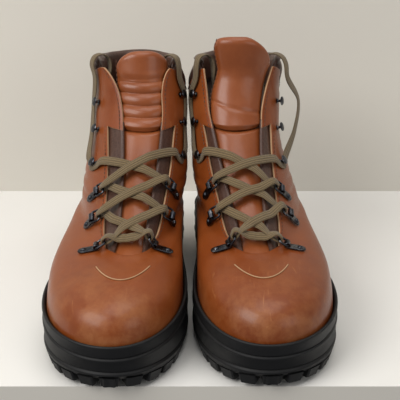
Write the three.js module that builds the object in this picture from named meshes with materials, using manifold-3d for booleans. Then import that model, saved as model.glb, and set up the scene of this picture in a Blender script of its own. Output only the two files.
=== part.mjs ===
// A pair of laced leather hiking boots, standing side by side with their toes towards -Y.
// Millimetres, +Z up. The origin is on the ground under the middle of the pair.
// One boot is drawn in its own frame, with +x on the big-toe side, and the other is its mirror image.

import * as THREE from 'three';
import Module from 'manifold-3d';
import { mergeVertices } from 'three/addons/utils/BufferGeometryUtils.js';

const wasm = await Module();
wasm.setup();

// ---------------------------------------------------------------- driving dimensions
const FIT_GAP = 0.3;                 // between pieces that touch
const DEGREE = Math.PI / 180;

const BOOT_SPACING = 54.2;           // from the middle of the pair to each boot's own origin
// Each boot is worn in a little differently. In millimetres, setBack is how far it stands back, lean
// how far its collar leans inwards, ridge how far its lacing lies towards the big toe, pinch how far
// its outer ankle is pressed in, tonguePull how far its tongue is pulled forward, and laceBow how far
// its outer lace end bows out. toeOut is in degrees, and tongueTop is the t where the tongue ends.
// overFrom is the side that the lace strands on top start from. outerRows gives the half width of the
// outer hardware in each of the six lacing rows, and gap the half width of the lacing gap by t.
const RIGHT_BOOT = {
  toeOut: 3.4, setBack: 0, lean: 1, ridge: 4, pinch: 0, tonguePull: 0, tongueTop: 1.09, laceBow: 0, overFrom: 'out',
  outerRows: [29, 32, 34, 37, 37, 37],
  gap: keyed([[0, 7], [0.3, 7], [0.35, 11.5], [0.45, 11.5], [0.55, 13], [0.65, 15], [0.75, 16.5], [0.88, 18],
    [0.94, 21], [0.98, 25], [1, 28.5]]),
};
const LEFT_BOOT = {
  toeOut: 5.4, setBack: 3, lean: 5.5, ridge: 0, pinch: 6, tonguePull: 9, tongueTop: 1.15, laceBow: 14, overFrom: 'in',
  outerRows: [29, 33, 31, 33, 34.5, 37],
  gap: keyed([[0, 7], [0.3, 7], [0.35, 11.5], [0.45, 12], [0.55, 15], [0.65, 18], [0.75, 21], [0.85, 24], [0.93, 27],
    [1, 30]]),
};
const LEAN_START = 0.45;
const RIDGE_START = { low: 0.2, high: 0.3 };

// The sole's top is one plane that climbs a little to the heel.
const SOLE_TOP = { toeY: -147.5, toeZ: 30, heelY: 146, heelZ: 37 };
const RAND_THICKNESS = 2.8;
const SOLE_OVERHANG = RAND_THICKNESS + 0.4;

// The upper is a stack of tilted rings. t runs from 0 at the sole to 1 at the collar, and above it
// for the tongue. Each ring starts on the front line and ends on the back line, [t, y, z].
const FRONT_LINE = [
  [0, -147.5, 30], [0.05, -148.6, 39], [0.1, -147, 48], [0.15, -142, 56.5], [0.2, -131.5, 63.5],
  [0.26, -112, 69], [0.33, -79, 73.5], [0.42, -57, 86], [0.52, -33, 102], [0.62, -11, 120],
  [0.72, 8, 139], [0.82, 23, 157], [0.91, 33, 174], [1, 39, 190], [1.2, 47, 226],
];
const BACK_LINE = [
  [0, 146, 37], [0.05, 148.5, 44], [0.1, 150, 51], [0.2, 151, 65], [0.33, 149, 84],
  [0.42, 146, 97], [0.52, 142, 113], [0.62, 138.5, 130], [0.72, 137, 146], [0.82, 137.5, 161],
  [0.91, 140, 176], [1, 143, 190], [1.2, 148, 226],
];
// Half widths at the ball, the waist and the heel, outside and inside, by t.
const BALL_OUT = [[0, 56.5], [0.15, 55.3], [0.33, 51.5], [0.5, 48], [1, 44]];
const BALL_IN = [[0, 49.2], [0.15, 48.4], [0.33, 46], [0.5, 45], [0.75, 41], [1, 40]];
const WAIST_OUT = [[0, 46], [0.15, 48], [0.33, 52], [0.5, 52], [0.7, 48], [1, 44]];
const WAIST_IN = [[0, 41], [0.15, 43], [0.33, 45], [0.5, 45], [0.75, 41], [1, 40]];
const HEEL_OUT = [[0, 37], [0.33, 36.5], [0.5, 36.5], [0.7, 38.5], [1, 44]];
const HEEL_IN = [[0, 37], [0.33, 36.5], [0.5, 36.5], [0.7, 37.5], [1, 40]];
const WIDTH_STATIONS = { toe: -150, ball: -66, waist: 10, heel: 100, back: 152 };
// How long each ring's front and back ends take to reach full width, and how blunt the front is.
const FRONT_ROUND = [[0, 85], [0.14, 95], [0.2, 112], [0.26, 138], [0.33, 150], [0.42, 128],
  [0.52, 104], [0.62, 86], [0.72, 68], [0.85, 56], [1, 50]];
const FRONT_BLUNT = [[0, 2.4], [0.14, 2.2], [0.2, 2], [0.26, 1.8], [0.33, 1.7], [0.5, 1.9], [0.7, 2]];
const BACK_ROUND = [[0, 42], [0.33, 45], [1, 50]];
// The ridge of the boot leans towards the big toe.
const RIDGE_OFFSET = [[0, 8], [0.15, 8], [0.33, 9], [0.42, 10], [0.6, 11], [0.8, 9.5], [0.9, 6.5], [1, 2]];
const RIDGE_FADE = 1.6;
// How much of a boot's pinch each ring takes.
const ANKLE = [[0.36, 0], [0.5, 0.8], [0.6, 1], [0.7, 0.7], [0.84, 0]];

const LEATHER = 2;
const LAYER_TOP = -(LEATHER + FIT_GAP);      // offset of whatever lies against the leather's inside

const THROAT_T = 0.35;               // where the lacing gap starts
const STRIP_END_T = 0.75;            // where the dark facing strips tuck under the leather
// The tan leather stands back from the lacing gap as far as STRIP_END_T, which leaves the dark strips
// in sight, and reaches the gap itself above that. Half widths by t.
const WIDE_GAP = [[0, 18], [0.3, 18], [THROAT_T, 19], [0.38, 22], [0.5, 24.5], [0.62, 27], [0.75, 29],
  [0.87, 30], [1, 33.5]];
const STRIP_THICKNESS = 1.3;

// Lacing rows: t of each row's hardware outside and inside, with its half width inside. Rings hang in
// the first three, each on a leaf that points down from square by its turn, and hooks stand on the rest.
const RING_ROWS = 3;
const LACING_ROWS = [
  { out: { t: 0.297, turn: 8 }, in: { q: 27, t: 0.297, turn: 4 } },
  { out: { t: 0.375, turn: 14 }, in: { q: 30, t: 0.387, turn: 14 } },
  { out: { t: 0.48, turn: 14 }, in: { q: 31, t: 0.495, turn: 14 } },
  { out: { t: 0.59 }, in: { q: 34, t: 0.615 } },
  { out: { t: 0.715 }, in: { q: 34, t: 0.745 } },
  { out: { t: 0.83 }, in: { q: 34, t: 0.865 } },
];
const HOOK_ROWS = [3, 4, 5];

// ---------------------------------------------------------------- smooth tables and closed meshes
// Smooth curve through [position, value] pairs, without overshoot.
function keyed(pairs, column = 1) {
  const xs = pairs.map((pair) => pair[0]);
  const ys = pairs.map((pair) => pair[column]);
  const slopes = xs.slice(1).map((x, i) => (ys[i + 1] - ys[i]) / (x - xs[i]));
  const tangents = xs.map((_, i) => {
    if (i === 0) return slopes[0];
    if (i === xs.length - 1) return slopes[slopes.length - 1];
    const before = slopes[i - 1];
    const after = slopes[i];
    return before * after <= 0 ? 0 : (2 * before * after) / (before + after);
  });
  return (x) => {
    if (x <= xs[0]) return ys[0];
    if (x >= xs[xs.length - 1]) return ys[ys.length - 1];
    let i = 0;
    while (x > xs[i + 1]) i += 1;
    const span = xs[i + 1] - xs[i];
    const f = (x - xs[i]) / span;
    const f2 = f * f;
    const f3 = f2 * f;
    return ys[i] * (2 * f3 - 3 * f2 + 1) + tangents[i] * span * (f3 - 2 * f2 + f)
      + ys[i + 1] * (3 * f2 - 2 * f3) + tangents[i + 1] * span * (f3 - f2);
  };
}

function fromTriangles(points, triangles) {
  const geometry = new THREE.BufferGeometry();
  geometry.setAttribute('position', new THREE.Float32BufferAttribute(points.flatMap((p) => [p.x, p.y, p.z]), 3));
  let volume = 0;
  for (const [a, b, c] of triangles) {
    volume += points[a].dot(new THREE.Vector3().crossVectors(points[b], points[c]));
  }
  const order = volume < 0 ? triangles.map(([a, b, c]) => [a, c, b]) : triangles;
  geometry.setIndex(order.flat());
  return geometry;
}

// A shell between two layers of a grid. point(i, j, layer) places a corner, and keep(i, j) says
// which cells of the grid exist. With wrap, the last column joins the first.
function gridShell({ columns, rows, wrap, point, keep }) {
  const points = [];
  const index = new Map();
  const corner = (i, j, layer) => {
    const column = wrap ? i % columns : i;
    const key = `${column},${j},${layer}`;
    if (!index.has(key)) {
      index.set(key, points.length);
      points.push(point(column, j, layer));
    }
    return index.get(key);
  };
  const triangles = [];
  const quad = (a, b, c, d) => triangles.push([a, b, c], [a, c, d]);
  const spans = wrap ? columns : columns - 1;
  const kept = (i, j) => {
    if (j < 0 || j >= rows - 1) return false;
    if (!wrap && (i < 0 || i >= spans)) return false;
    return keep((i + spans) % spans, j);
  };
  for (let j = 0; j < rows - 1; j += 1) {
    for (let i = 0; i < spans; i += 1) {
      if (!kept(i, j)) continue;
      quad(corner(i, j, 0), corner(i + 1, j, 0), corner(i + 1, j + 1, 0), corner(i, j + 1, 0));
      quad(corner(i, j, 1), corner(i, j + 1, 1), corner(i + 1, j + 1, 1), corner(i + 1, j, 1));
      if (!kept(i, j - 1)) quad(corner(i, j, 1), corner(i + 1, j, 1), corner(i + 1, j, 0), corner(i, j, 0));
      if (!kept(i, j + 1)) {
        quad(corner(i, j + 1, 0), corner(i + 1, j + 1, 0), corner(i + 1, j + 1, 1), corner(i, j + 1, 1));
      }
      if (!kept(i - 1, j)) quad(corner(i, j, 0), corner(i, j + 1, 0), corner(i, j + 1, 1), corner(i, j, 1));
      if (!kept(i + 1, j)) {
        quad(corner(i + 1, j, 1), corner(i + 1, j + 1, 1), corner(i + 1, j + 1, 0), corner(i + 1, j, 0));
      }
    }
  }
  return fromTriangles(points, triangles);
}

function toSolid(geometry) {
  const plain = geometry.clone();
  plain.deleteAttribute('normal');
  plain.deleteAttribute('uv');
  const merged = mergeVertices(plain, 1e-4);
  return new wasm.Manifold(new wasm.Mesh({
    numProp: 3,
    vertProperties: new Float32Array(merged.attributes.position.array),
    triVerts: new Uint32Array(merged.index.array),
  }));
}

function toGeometry(solid) {
  const mesh = solid.getMesh();
  const geometry = new THREE.BufferGeometry();
  geometry.setAttribute('position', new THREE.BufferAttribute(new Float32Array(mesh.vertProperties), 3));
  geometry.setIndex(new THREE.BufferAttribute(new Uint32Array(mesh.triVerts), 1));
  return geometry;
}

const cut = (geometry, tools) => toGeometry(tools.reduce((solid, tool) => solid.subtract(toSolid(tool)), toSolid(geometry)));
const join = (pieces) => toGeometry(pieces.map(toSolid).reduce((whole, piece) => whole.add(piece)));

// ---------------------------------------------------------------- the shape of the boot
const table = {
  frontY: keyed(FRONT_LINE, 1),
  frontZ: keyed(FRONT_LINE, 2),
  backY: keyed(BACK_LINE, 1),
  backZ: keyed(BACK_LINE, 2),
  ballOut: keyed(BALL_OUT),
  ballIn: keyed(BALL_IN),
  waistOut: keyed(WAIST_OUT),
  waistIn: keyed(WAIST_IN),
  heelOut: keyed(HEEL_OUT),
  heelIn: keyed(HEEL_IN),
  frontRound: keyed(FRONT_ROUND),
  frontBlunt: keyed(FRONT_BLUNT),
  backRound: keyed(BACK_ROUND),
  ridge: keyed(RIDGE_OFFSET),
  wideGap: keyed(WIDE_GAP),
  ankle: keyed(ANKLE),
};

const OUTSIDE = -1;                  // the little-toe side
const INSIDE = 1;                    // the big-toe side

const soleTopZ = (y) => SOLE_TOP.toeZ
  + ((y - SOLE_TOP.toeY) * (SOLE_TOP.heelZ - SOLE_TOP.toeZ)) / (SOLE_TOP.heelY - SOLE_TOP.toeY);

// Half width of ring t, at the fraction u of the way from its front to its back.
function halfWidth(side, u, t) {
  const y0 = table.frontY(t);
  const y1 = table.backY(t);
  const length = Math.hypot(y1 - y0, table.backZ(t) - table.frontZ(t));
  const y = y0 + u * (y1 - y0);
  const ball = side === OUTSIDE ? table.ballOut(t) : table.ballIn(t);
  const waist = side === OUTSIDE ? table.waistOut(t) : table.waistIn(t);
  const heel = side === OUTSIDE ? table.heelOut(t) : table.heelIn(t);
  const { toe, ball: ballY, waist: waistY, heel: heelY, back } = WIDTH_STATIONS;
  const full = keyed([[toe, ball], [ballY, ball], [waistY, waist], [heelY, heel], [back, heel]])(y);
  const front = Math.max(0, 1 - (u * length) / table.frontRound(t));
  const rear = Math.max(0, 1 - ((1 - u) * length) / table.backRound(t));
  const pinch = side === OUTSIDE ? boot.pinch * table.ankle(t) : 0;
  return (full - pinch) * Math.sqrt(1 - front ** table.frontBlunt(t)) * Math.sqrt(1 - rear ** 2);
}

// The boot being drawn, which the shape of the last reads its lean from.
let boot = RIGHT_BOOT;

// A point of the last. sigma runs from 0 at the front of the ring to 1 at its back.
function lastPoint(side, sigma, t) {
  const u = (1 - Math.cos(Math.PI * sigma)) / 2;
  const y = THREE.MathUtils.lerp(table.frontY(t), table.backY(t), u);
  const z = THREE.MathUtils.lerp(table.frontZ(t), table.backZ(t), u);
  const lean = boot.lean * THREE.MathUtils.smoothstep(t, LEAN_START, 1);
  const ridge = table.ridge(t) + boot.ridge * THREE.MathUtils.smoothstep(t, RIDGE_START.low, RIDGE_START.high);
  const middle = lean + ridge * (1 - u) ** RIDGE_FADE;
  return new THREE.Vector3(middle + side * halfWidth(side, u, t), y, z);
}

// The same point by a signed sigma, negative outside and positive inside.
const pointAt = (s, t) => (s < 0 ? lastPoint(OUTSIDE, -s, t) : lastPoint(INSIDE, s, t));

function normalAt(s, t) {
  const step = 0.004;
  const wrapS = (value) => (value > 1 ? value - 2 : value < -1 ? value + 2 : value);
  const along = pointAt(wrapS(s + step), t).sub(pointAt(wrapS(s - step), t));
  const low = Math.max(0, t - step);
  const up = pointAt(s, t + step).sub(pointAt(s, low));
  return along.cross(up).normalize();
}

const onLast = (s, t, offset) => pointAt(s, t).addScaledVector(normalAt(s, t), offset);

// sigma where ring t is q wide on one side.
function sigmaAt(side, q, t) {
  let low = 0;
  let high = 0.5;
  for (let i = 0; i < 30; i += 1) {
    const middle = (low + high) / 2;
    const u = (1 - Math.cos(Math.PI * middle)) / 2;
    if (halfWidth(side, u, t) < q) low = middle;
    else high = middle;
  }
  return (low + high) / 2;
}

// A point above the front of the boot, q to one side of the ridge, negative outside.
const sAt = (q, t) => (Math.abs(q) < 1e-6 ? 0 : Math.sign(q) * sigmaAt(Math.sign(q), Math.abs(q), t));
const overLacing = (q, t, offset) => onLast(sAt(q, t), t, offset);

// Where the hardware of a lacing row sits on one side.
const spotAt = (side, row) => (side === OUTSIDE
  ? { q: boot.outerRows[row], ...LACING_ROWS[row].out } : LACING_ROWS[row].in);

// ---------------------------------------------------------------- the sole
const SIDE_STEPS = 12;               // stations along each side of a sole layer
const OUTSOLE_TOP = keyed([[-152, 19], [-66, 13], [10, 14.5], [60, 19], [152, 20.5]]);
const OUTSOLE_BOTTOM = keyed([[-152, 7], [-140, 4], [-118, 1.2], [-95, 0], [0, 0], [14, 4], [42, 4], [54, 0],
  [134, 0], [152, 4]]);
const TREAD_SHAPE = [{ offset: -5, rise: 0 }, { offset: 1.2, rise: 4.5 }, { offset: SOLE_OVERHANG, rise: 9 }];
const LUG_NOTCHES = [0.17, 0.24, 0.31, 0.38, 0.45, 0.52, 0.7, 0.78, 0.86, 0.93];
const NOTCH = { width: 5, depth: 16, height: 9 };
const SHANK = { width: 16, length: 120, thickness: 1.2, y: 25, slack: 0.6 };
const BOARD = { inset: 4.3, thickness: 2 };
const FOOTBED = { inset: 4.8, thickness: 5 };

// A point on the sole's outline, pushed out sideways by the offset.
function soleEdge(s, offset) {
  const level = 0.03;
  const outward = normalAt(s, level).setZ(0).normalize();
  return pointAt(s, level).addScaledVector(outward, offset);
}

// A solid built up from outline layers, { offset, z }, each with z as a function of y.
function soleSlab(layers) {
  const around = 2 * SIDE_STEPS;
  const points = [];
  for (const { offset, z } of layers) {
    for (let k = 0; k < around; k += 1) {
      const s = k <= SIDE_STEPS ? k / SIDE_STEPS : k / SIDE_STEPS - 2;
      const p = soleEdge(s, offset);
      points.push(p.setZ(z(p.y)));
    }
  }
  const triangles = [];
  const quad = (a, b, c, d) => triangles.push([a, b, c], [a, c, d]);
  for (let layer = 0; layer < layers.length - 1; layer += 1) {
    for (let k = 0; k < around; k += 1) {
      const next = (k + 1) % around;
      const low = layer * around;
      quad(low + k, low + next, low + around + next, low + around + k);
    }
  }
  for (const [base, flip] of [[0, true], [(layers.length - 1) * around, false]]) {
    for (let k = 0; k < SIDE_STEPS; k += 1) {
      const a = base + k;
      const b = base + k + 1;
      const c = base + ((around - k - 1) % around);
      const d = base + ((around - k) % around);
      const faces = [];
      if (b !== c) faces.push([a, b, c]);
      if (a !== d) faces.push([a, c, d]);
      for (const [p, q, r] of faces) triangles.push(flip ? [p, r, q] : [p, q, r]);
    }
  }
  return fromTriangles(points, triangles);
}

// A box that follows the slope of the sole's top, with its upper face that far from it.
function boxInSole(width, length, height, y, topOffset) {
  const slope = Math.atan2(SOLE_TOP.heelZ - SOLE_TOP.toeZ, SOLE_TOP.heelY - SOLE_TOP.toeY);
  const box = new THREE.BoxGeometry(width, length, height);
  box.translate(0, 0, topOffset - height / 2);
  box.rotateX(slope);
  return box.translate(0, y, soleTopZ(y));
}

function outsole() {
  const layers = TREAD_SHAPE.map(({ offset, rise }) => ({ offset, z: (y) => OUTSOLE_BOTTOM(y) + rise * 0.9 }));
  layers.push({ offset: SOLE_OVERHANG, z: OUTSOLE_TOP });
  const notches = [...LUG_NOTCHES, ...LUG_NOTCHES.map((s) => -s), 0.07, -0.07].map((s) => {
    const at = soleEdge(s, 0);
    const outward = normalAt(s, 0.03).setZ(0).normalize();
    const notch = new THREE.BoxGeometry(NOTCH.depth, NOTCH.width, NOTCH.height);
    notch.rotateZ(Math.atan2(outward.y, outward.x));
    return notch.translate(at.x, at.y, OUTSOLE_BOTTOM(at.y));
  });
  return cut(soleSlab(layers), notches);
}

function midsole() {
  const slab = soleSlab([
    { offset: SOLE_OVERHANG, z: (y) => OUTSOLE_TOP(y) + FIT_GAP },
    { offset: SOLE_OVERHANG, z: (y) => soleTopZ(y) - FIT_GAP },
  ]);
  const pocketDepth = SHANK.thickness + 2 * FIT_GAP;
  const pocket = boxInSole(SHANK.width + SHANK.slack, SHANK.length + SHANK.slack, 2 * pocketDepth, SHANK.y,
    pocketDepth - FIT_GAP);
  return cut(slab, [pocket]);
}

const shank = () => boxInSole(SHANK.width, SHANK.length, SHANK.thickness, SHANK.y, -FIT_GAP);

const insoleBoard = () => soleSlab([
  { offset: -BOARD.inset, z: (y) => soleTopZ(y) },
  { offset: -BOARD.inset, z: (y) => soleTopZ(y) + BOARD.thickness },
]);

const footbedTop = (y) => soleTopZ(y) + BOARD.thickness + FIT_GAP + FOOTBED.thickness;
const footbed = () => soleSlab([
  { offset: -FOOTBED.inset, z: (y) => soleTopZ(y) + BOARD.thickness + FIT_GAP },
  { offset: -FOOTBED.inset, z: footbedTop },
]);

// ---------------------------------------------------------------- the upper and its layers
const COLUMNS_PER_SIDE = 12;
const EDGE_COLUMNS = 2;              // column 1 follows the narrow gap, and column 2 the wide one
const UPPER_ROWS = [0, 0.05, 0.1, 0.16, 0.22, 0.31, THROAT_T, 0.4, 0.5, 0.62, STRIP_END_T, 0.81, 0.87,
  0.93, 0.97, 1];
const RAND_ROWS = [0, 0.05];
const STRIP_ROWS = [0.31, THROAT_T, 0.4, 0.5, 0.62, STRIP_END_T, 0.78];
const STRIP_TUCK = 2.15;             // the column that the strips reach under the leather
const COLLAR = { column: 5.2, rows: [0.81, 0.87, 0.93, 0.97, 1, 1.035], thickness: 6.5 };
const PUFF = { column: 3, rows: [0.05, 0.1, 0.16, 0.22], thickness: 1.1 };
const COUNTER = { column: 8, rows: [0.05, 0.1, 0.16, 0.22, 0.31, THROAT_T], thickness: 1.1 };
const TONGUE = { thickness: 4.5, below: 5.2, halfWidth: 26, from: 0.37, split: 0.765 };

// sigma of one of the columns that all the layers of the upper share.
function columnSigma(side, column, t) {
  const narrow = sigmaAt(side, boot.gap(t), t);
  const wide = sigmaAt(side, table.wideGap(t), t);
  if (column <= EDGE_COLUMNS) return [0, narrow, wide][column];
  return wide + ((1 - wide) * (column - EDGE_COLUMNS)) / (COLUMNS_PER_SIDE - EDGE_COLUMNS);
}

// A point on the flat facets between those columns and rows, so that layers stay parallel.
function onFacets(side, column, t, offset) {
  let row = UPPER_ROWS.length - 2;
  while (row > 0 && UPPER_ROWS[row] > t) row -= 1;
  const low = UPPER_ROWS[row];
  const high = t > 1 ? t : UPPER_ROWS[row + 1];
  const left = Math.min(Math.floor(column), COLUMNS_PER_SIDE - 1);
  const at = (h, level) => onLast(side * columnSigma(side, h, level), level, offset);
  const across = (level) => at(left, level).lerp(at(left + 1, level), column - left);
  if (t === high) return across(high);
  return across(low).lerp(across(high), (t - low) / (high - low));
}

// A layer between two offsets. columns are signed: negative outside, positive inside, and those past
// the back of the heel come round from the other side.
function layer({ columns, rows, wrap = false, keep = () => true, outer, inner }) {
  return gridShell({
    columns: columns.length,
    rows: rows.length,
    wrap,
    keep,
    point: (i, j, face) => {
      const column = typeof columns[i] === 'function' ? columns[i](rows[j]) : columns[i];
      const round = Math.abs(column) > COLUMNS_PER_SIDE ? 2 * COLUMNS_PER_SIDE - Math.abs(column) : Math.abs(column);
      const side = (Math.abs(column) > COLUMNS_PER_SIDE ? -1 : 1) * (column < 0 ? OUTSIDE : INSIDE);
      const p = onFacets(side, round, rows[j], face === 0 ? outer : inner);
      return rows[j] === 0 ? p.setZ(soleTopZ(p.y) + SEAT) : p;
    },
  });
}
const SEAT = 0.05;
const countFrom = (first, last) => Array.from({ length: last - first + 1 }, (_, k) => first + k);
const ALL_ROUND = countFrom(0, 2 * COLUMNS_PER_SIDE - 1);

const rand = () => layer({
  columns: ALL_ROUND, rows: RAND_ROWS, wrap: true, outer: FIT_GAP + RAND_THICKNESS, inner: FIT_GAP,
});

function upper(holes) {
  const around = ALL_ROUND.length;
  const shell = layer({
    columns: ALL_ROUND,
    rows: UPPER_ROWS,
    wrap: true,
    outer: 0,
    inner: -LEATHER,
    keep: (i, j) => {
      const column = i < COLUMNS_PER_SIDE ? i : around - 1 - i;
      if (UPPER_ROWS[j] < THROAT_T) return true;
      return UPPER_ROWS[j] < STRIP_END_T ? column >= EDGE_COLUMNS : column >= 1;
    },
  });
  return cut(shell, holes);
}

const toePuff = () => layer({
  columns: countFrom(-PUFF.column, PUFF.column), rows: PUFF.rows, outer: LAYER_TOP, inner: LAYER_TOP - PUFF.thickness,
});

const heelCounter = () => layer({
  columns: countFrom(COUNTER.column, 2 * COLUMNS_PER_SIDE - COUNTER.column), rows: COUNTER.rows,
  outer: LAYER_TOP, inner: LAYER_TOP - COUNTER.thickness,
});

function collarPad() {
  const inside = countFrom(Math.ceil(COLLAR.column), 2 * COLUMNS_PER_SIDE - Math.ceil(COLLAR.column));
  return layer({
    columns: [COLLAR.column, ...inside, 2 * COLUMNS_PER_SIDE - COLLAR.column], rows: COLLAR.rows,
    outer: LAYER_TOP, inner: LAYER_TOP - COLLAR.thickness,
  });
}

// The dark strips down both sides of the lacing gap, joined across the bottom under the vamp.
function facingStrips() {
  const half = [1, EDGE_COLUMNS, STRIP_TUCK];
  const columns = [...half.map((column) => -column).reverse(), 0, ...half];
  const bridge = [2, 3];
  return layer({
    columns, rows: STRIP_ROWS, outer: LAYER_TOP, inner: LAYER_TOP - STRIP_THICKNESS,
    keep: (i, j) => !(bridge.includes(i) && STRIP_ROWS[j] >= THROAT_T),
  });
}

// The tongue follows the ridge under the facings. Above the collar it may be pulled forward.
function tonguePiece(tFrom, tTo, rows) {
  const columns = 7;
  return gridShell({
    columns,
    rows,
    wrap: false,
    keep: () => true,
    point: (i, j, layer) => {
      const t = THREE.MathUtils.lerp(tFrom, tTo, j / (rows - 1));
      const q = TONGUE.halfWidth * tongueWidth(t) * (i / ((columns - 1) / 2) - 1);
      const pull = boot.tonguePull * THREE.MathUtils.smoothstep(t, 0.95, boot.tongueTop);
      return overLacing(q, t, pull - TONGUE.below - (layer === 0 ? 0 : TONGUE.thickness));
    },
  });
}
const tongueWidth = keyed([[0.36, 0.8], [0.6, 1], [1, 1], [1.06, 0.92], [1.16, 0.6]]);
const tongueLower = () => tonguePiece(TONGUE.from, TONGUE.split - 0.012, 6);
const tongueTop = () => tonguePiece(TONGUE.split, boot.tongueTop, 6);

// ---------------------------------------------------------------- hardware
const WIRE = 1.8;
const RING = { halfWidth: 5.8, reach: 8, corner: 2.4, rest: 3.4 };   // rest: the far bar's height over the boot
const KNUCKLE = { inner: 1.55, outer: 2.4, halfLength: 3.3, x: 6 };
const LEAF = { thickness: 1.2, lift: 0.4, from: 6, to: -9, width: 7.4, tip: 3, rivetX: -4.5 };
const CLIP_HEIGHT = LEAF.lift + KNUCKLE.outer;
const RIVET = { head: 2.1, post: 1.3, hole: 1.7 };
const HOOK = { post: 1.5, hole: 2, root: 1.2, rise: 4.6, head: 4.4, headThickness: 1.3 };
const STAY = { halfWidth: 2.4, thickness: 0.8, rows: [0.58, 0.62, 0.75, 0.81, 0.87, 0.9] };

// How high the boot's surface stands over a frame's own XY plane.
function surfaceHeight(side, { q, t }, frame, x, y) {
  const target = frame.origin.clone().addScaledVector(frame.x, x).addScaledVector(frame.y, y);
  let [atQ, atT] = [q, t];
  const step = 0.01;
  for (let i = 0; i < 6; i += 1) {
    const here = overLacing(side * atQ, atT, 0);
    const alongQ = overLacing(side * (atQ + 1), atT, 0).sub(here);
    const alongT = overLacing(side * atQ, atT + step, 0).sub(here).divideScalar(step);
    const miss = target.clone().sub(here);
    const [a, b] = [frame.x, frame.y].map((axis) => [alongQ.dot(axis), alongT.dot(axis), miss.dot(axis)]);
    const determinant = a[0] * b[1] - a[1] * b[0];
    atQ += (a[2] * b[1] - a[1] * b[2]) / determinant;
    atT += (a[0] * b[2] - a[2] * b[0]) / determinant;
  }
  return overLacing(side * atQ, atT, 0).sub(frame.origin).dot(frame.z);
}

// The frame of a piece that lies on the boot: X towards the ridge, Z outwards.
function surfaceFrame(side, { q, t }, turn = 0) {
  const s = sAt(side * q, t);
  const z = normalAt(s, t);
  const up = overLacing(side * q, t + 0.01, 0).sub(overLacing(side * q, t - 0.01, 0));
  up.addScaledVector(z, -up.dot(z)).normalize();
  const x = new THREE.Vector3().crossVectors(z, up).multiplyScalar(side);
  x.applyAxisAngle(z, turn * DEGREE * side * -1);
  const y = new THREE.Vector3().crossVectors(z, x);
  return { origin: pointAt(s, t), x, y, z, up };
}

// The same for a clip, lifted until its leaf clears the leather, with the angle of its ring, which
// rests on the boot at its far bar.
function clipFrame(side, spot) {
  const frame = surfaceFrame(side, spot, spot.turn);
  const under = [[LEAF.to, 0], [LEAF.to, 1.5], [LEAF.to, -1.5], [-6, 3.7], [-6, -3.7], [0, 3.7], [0, -3.7], [LEAF.from, 3.3], [LEAF.from, -3.3]];
  const lift = Math.max(0, ...under.map(([x, y]) => surfaceHeight(side, spot, frame, x, y)));
  frame.origin.addScaledVector(frame.z, lift);
  const far = Math.max(...[-1, 0, 1].map((k) => (
    surfaceHeight(side, spot, frame, KNUCKLE.x + RING.reach, k * RING.halfWidth))));
  frame.tilt = Math.asin((CLIP_HEIGHT - far - RING.rest) / RING.reach);
  return frame;
}

const place = (frame, x, along, z) => frame.origin.clone()
  .addScaledVector(frame.x, x).addScaledVector(frame.up, along).addScaledVector(frame.z, z);

function roundedLoop(halfLength, halfWidth, corner, shape) {
  shape.moveTo(-halfLength + corner, -halfWidth);
  shape.lineTo(halfLength - corner, -halfWidth);
  shape.quadraticCurveTo(halfLength, -halfWidth, halfLength, -halfWidth + corner);
  shape.lineTo(halfLength, halfWidth - corner);
  shape.quadraticCurveTo(halfLength, halfWidth, halfLength - corner, halfWidth);
  shape.lineTo(-halfLength + corner, halfWidth);
  shape.quadraticCurveTo(-halfLength, halfWidth, -halfLength, halfWidth - corner);
  shape.lineTo(-halfLength, -halfWidth + corner);
  shape.quadraticCurveTo(-halfLength, -halfWidth, -halfLength + corner, -halfWidth);
  return shape;
}

// The wire loop, with its hinge bar along Y through the origin and its far bar towards +X.
function ringLoop() {
  const middle = RING.reach / 2;
  const outline = roundedLoop(middle + WIRE / 2, RING.halfWidth, RING.corner, new THREE.Shape());
  outline.holes.push(roundedLoop(middle - WIRE / 2, RING.halfWidth - WIRE, RING.corner / 2, new THREE.Path()));
  const loop = new THREE.ExtrudeGeometry(outline, { depth: WIRE, bevelEnabled: false, curveSegments: 2 });
  return loop.translate(middle, 0, -WIRE / 2);
}

// The riveted leaf with its knuckle. Z = 0 is the level of the knuckle's middle.
function clip() {
  const bottom = LEAF.lift - CLIP_HEIGHT;
  const half = LEAF.width / 2;
  const leaf = new THREE.Shape();
  leaf.moveTo(LEAF.from, -KNUCKLE.halfLength);
  leaf.lineTo(LEAF.from, KNUCKLE.halfLength);
  leaf.quadraticCurveTo(LEAF.from - 5, half, -2, half);
  leaf.quadraticCurveTo(LEAF.to, half, LEAF.to, 0);
  leaf.quadraticCurveTo(LEAF.to, -half, -2, -half);
  leaf.quadraticCurveTo(LEAF.from - 5, -half, LEAF.from, -KNUCKLE.halfLength);
  const plate = new THREE.ExtrudeGeometry(leaf, { depth: LEAF.thickness, bevelEnabled: false, curveSegments: 2 });
  plate.translate(0, 0, bottom);
  const tube = new THREE.CylinderGeometry(KNUCKLE.outer, KNUCKLE.outer, 2 * KNUCKLE.halfLength, 10);
  tube.translate(KNUCKLE.x, 0, 0);
  const eye = new THREE.CylinderGeometry(KNUCKLE.inner, KNUCKLE.inner, 2 * KNUCKLE.halfLength + 2, 8);
  eye.translate(KNUCKLE.x, 0, 0);
  const head = new THREE.CylinderGeometry(RIVET.head * 0.7, RIVET.head, 2, 8);
  head.rotateX(Math.PI / 2).translate(LEAF.rivetX, 0, bottom + LEAF.thickness + 0.6);
  const post = new THREE.CylinderGeometry(RIVET.post, RIVET.post, 2.4, 6);
  post.rotateX(Math.PI / 2).translate(LEAF.rivetX, 0, bottom - 0.7);
  return cut(join([plate, tube, head, post]), [eye]);
}

// A hole through the leather, square to the surface.
function leatherHole(frame, x, radius) {
  const hole = new THREE.CylinderGeometry(radius, radius, 4 * LEATHER, 6);
  hole.rotateX(Math.PI / 2);
  return hole.applyMatrix4(frameMatrix(frame, x, 0));
}

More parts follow.
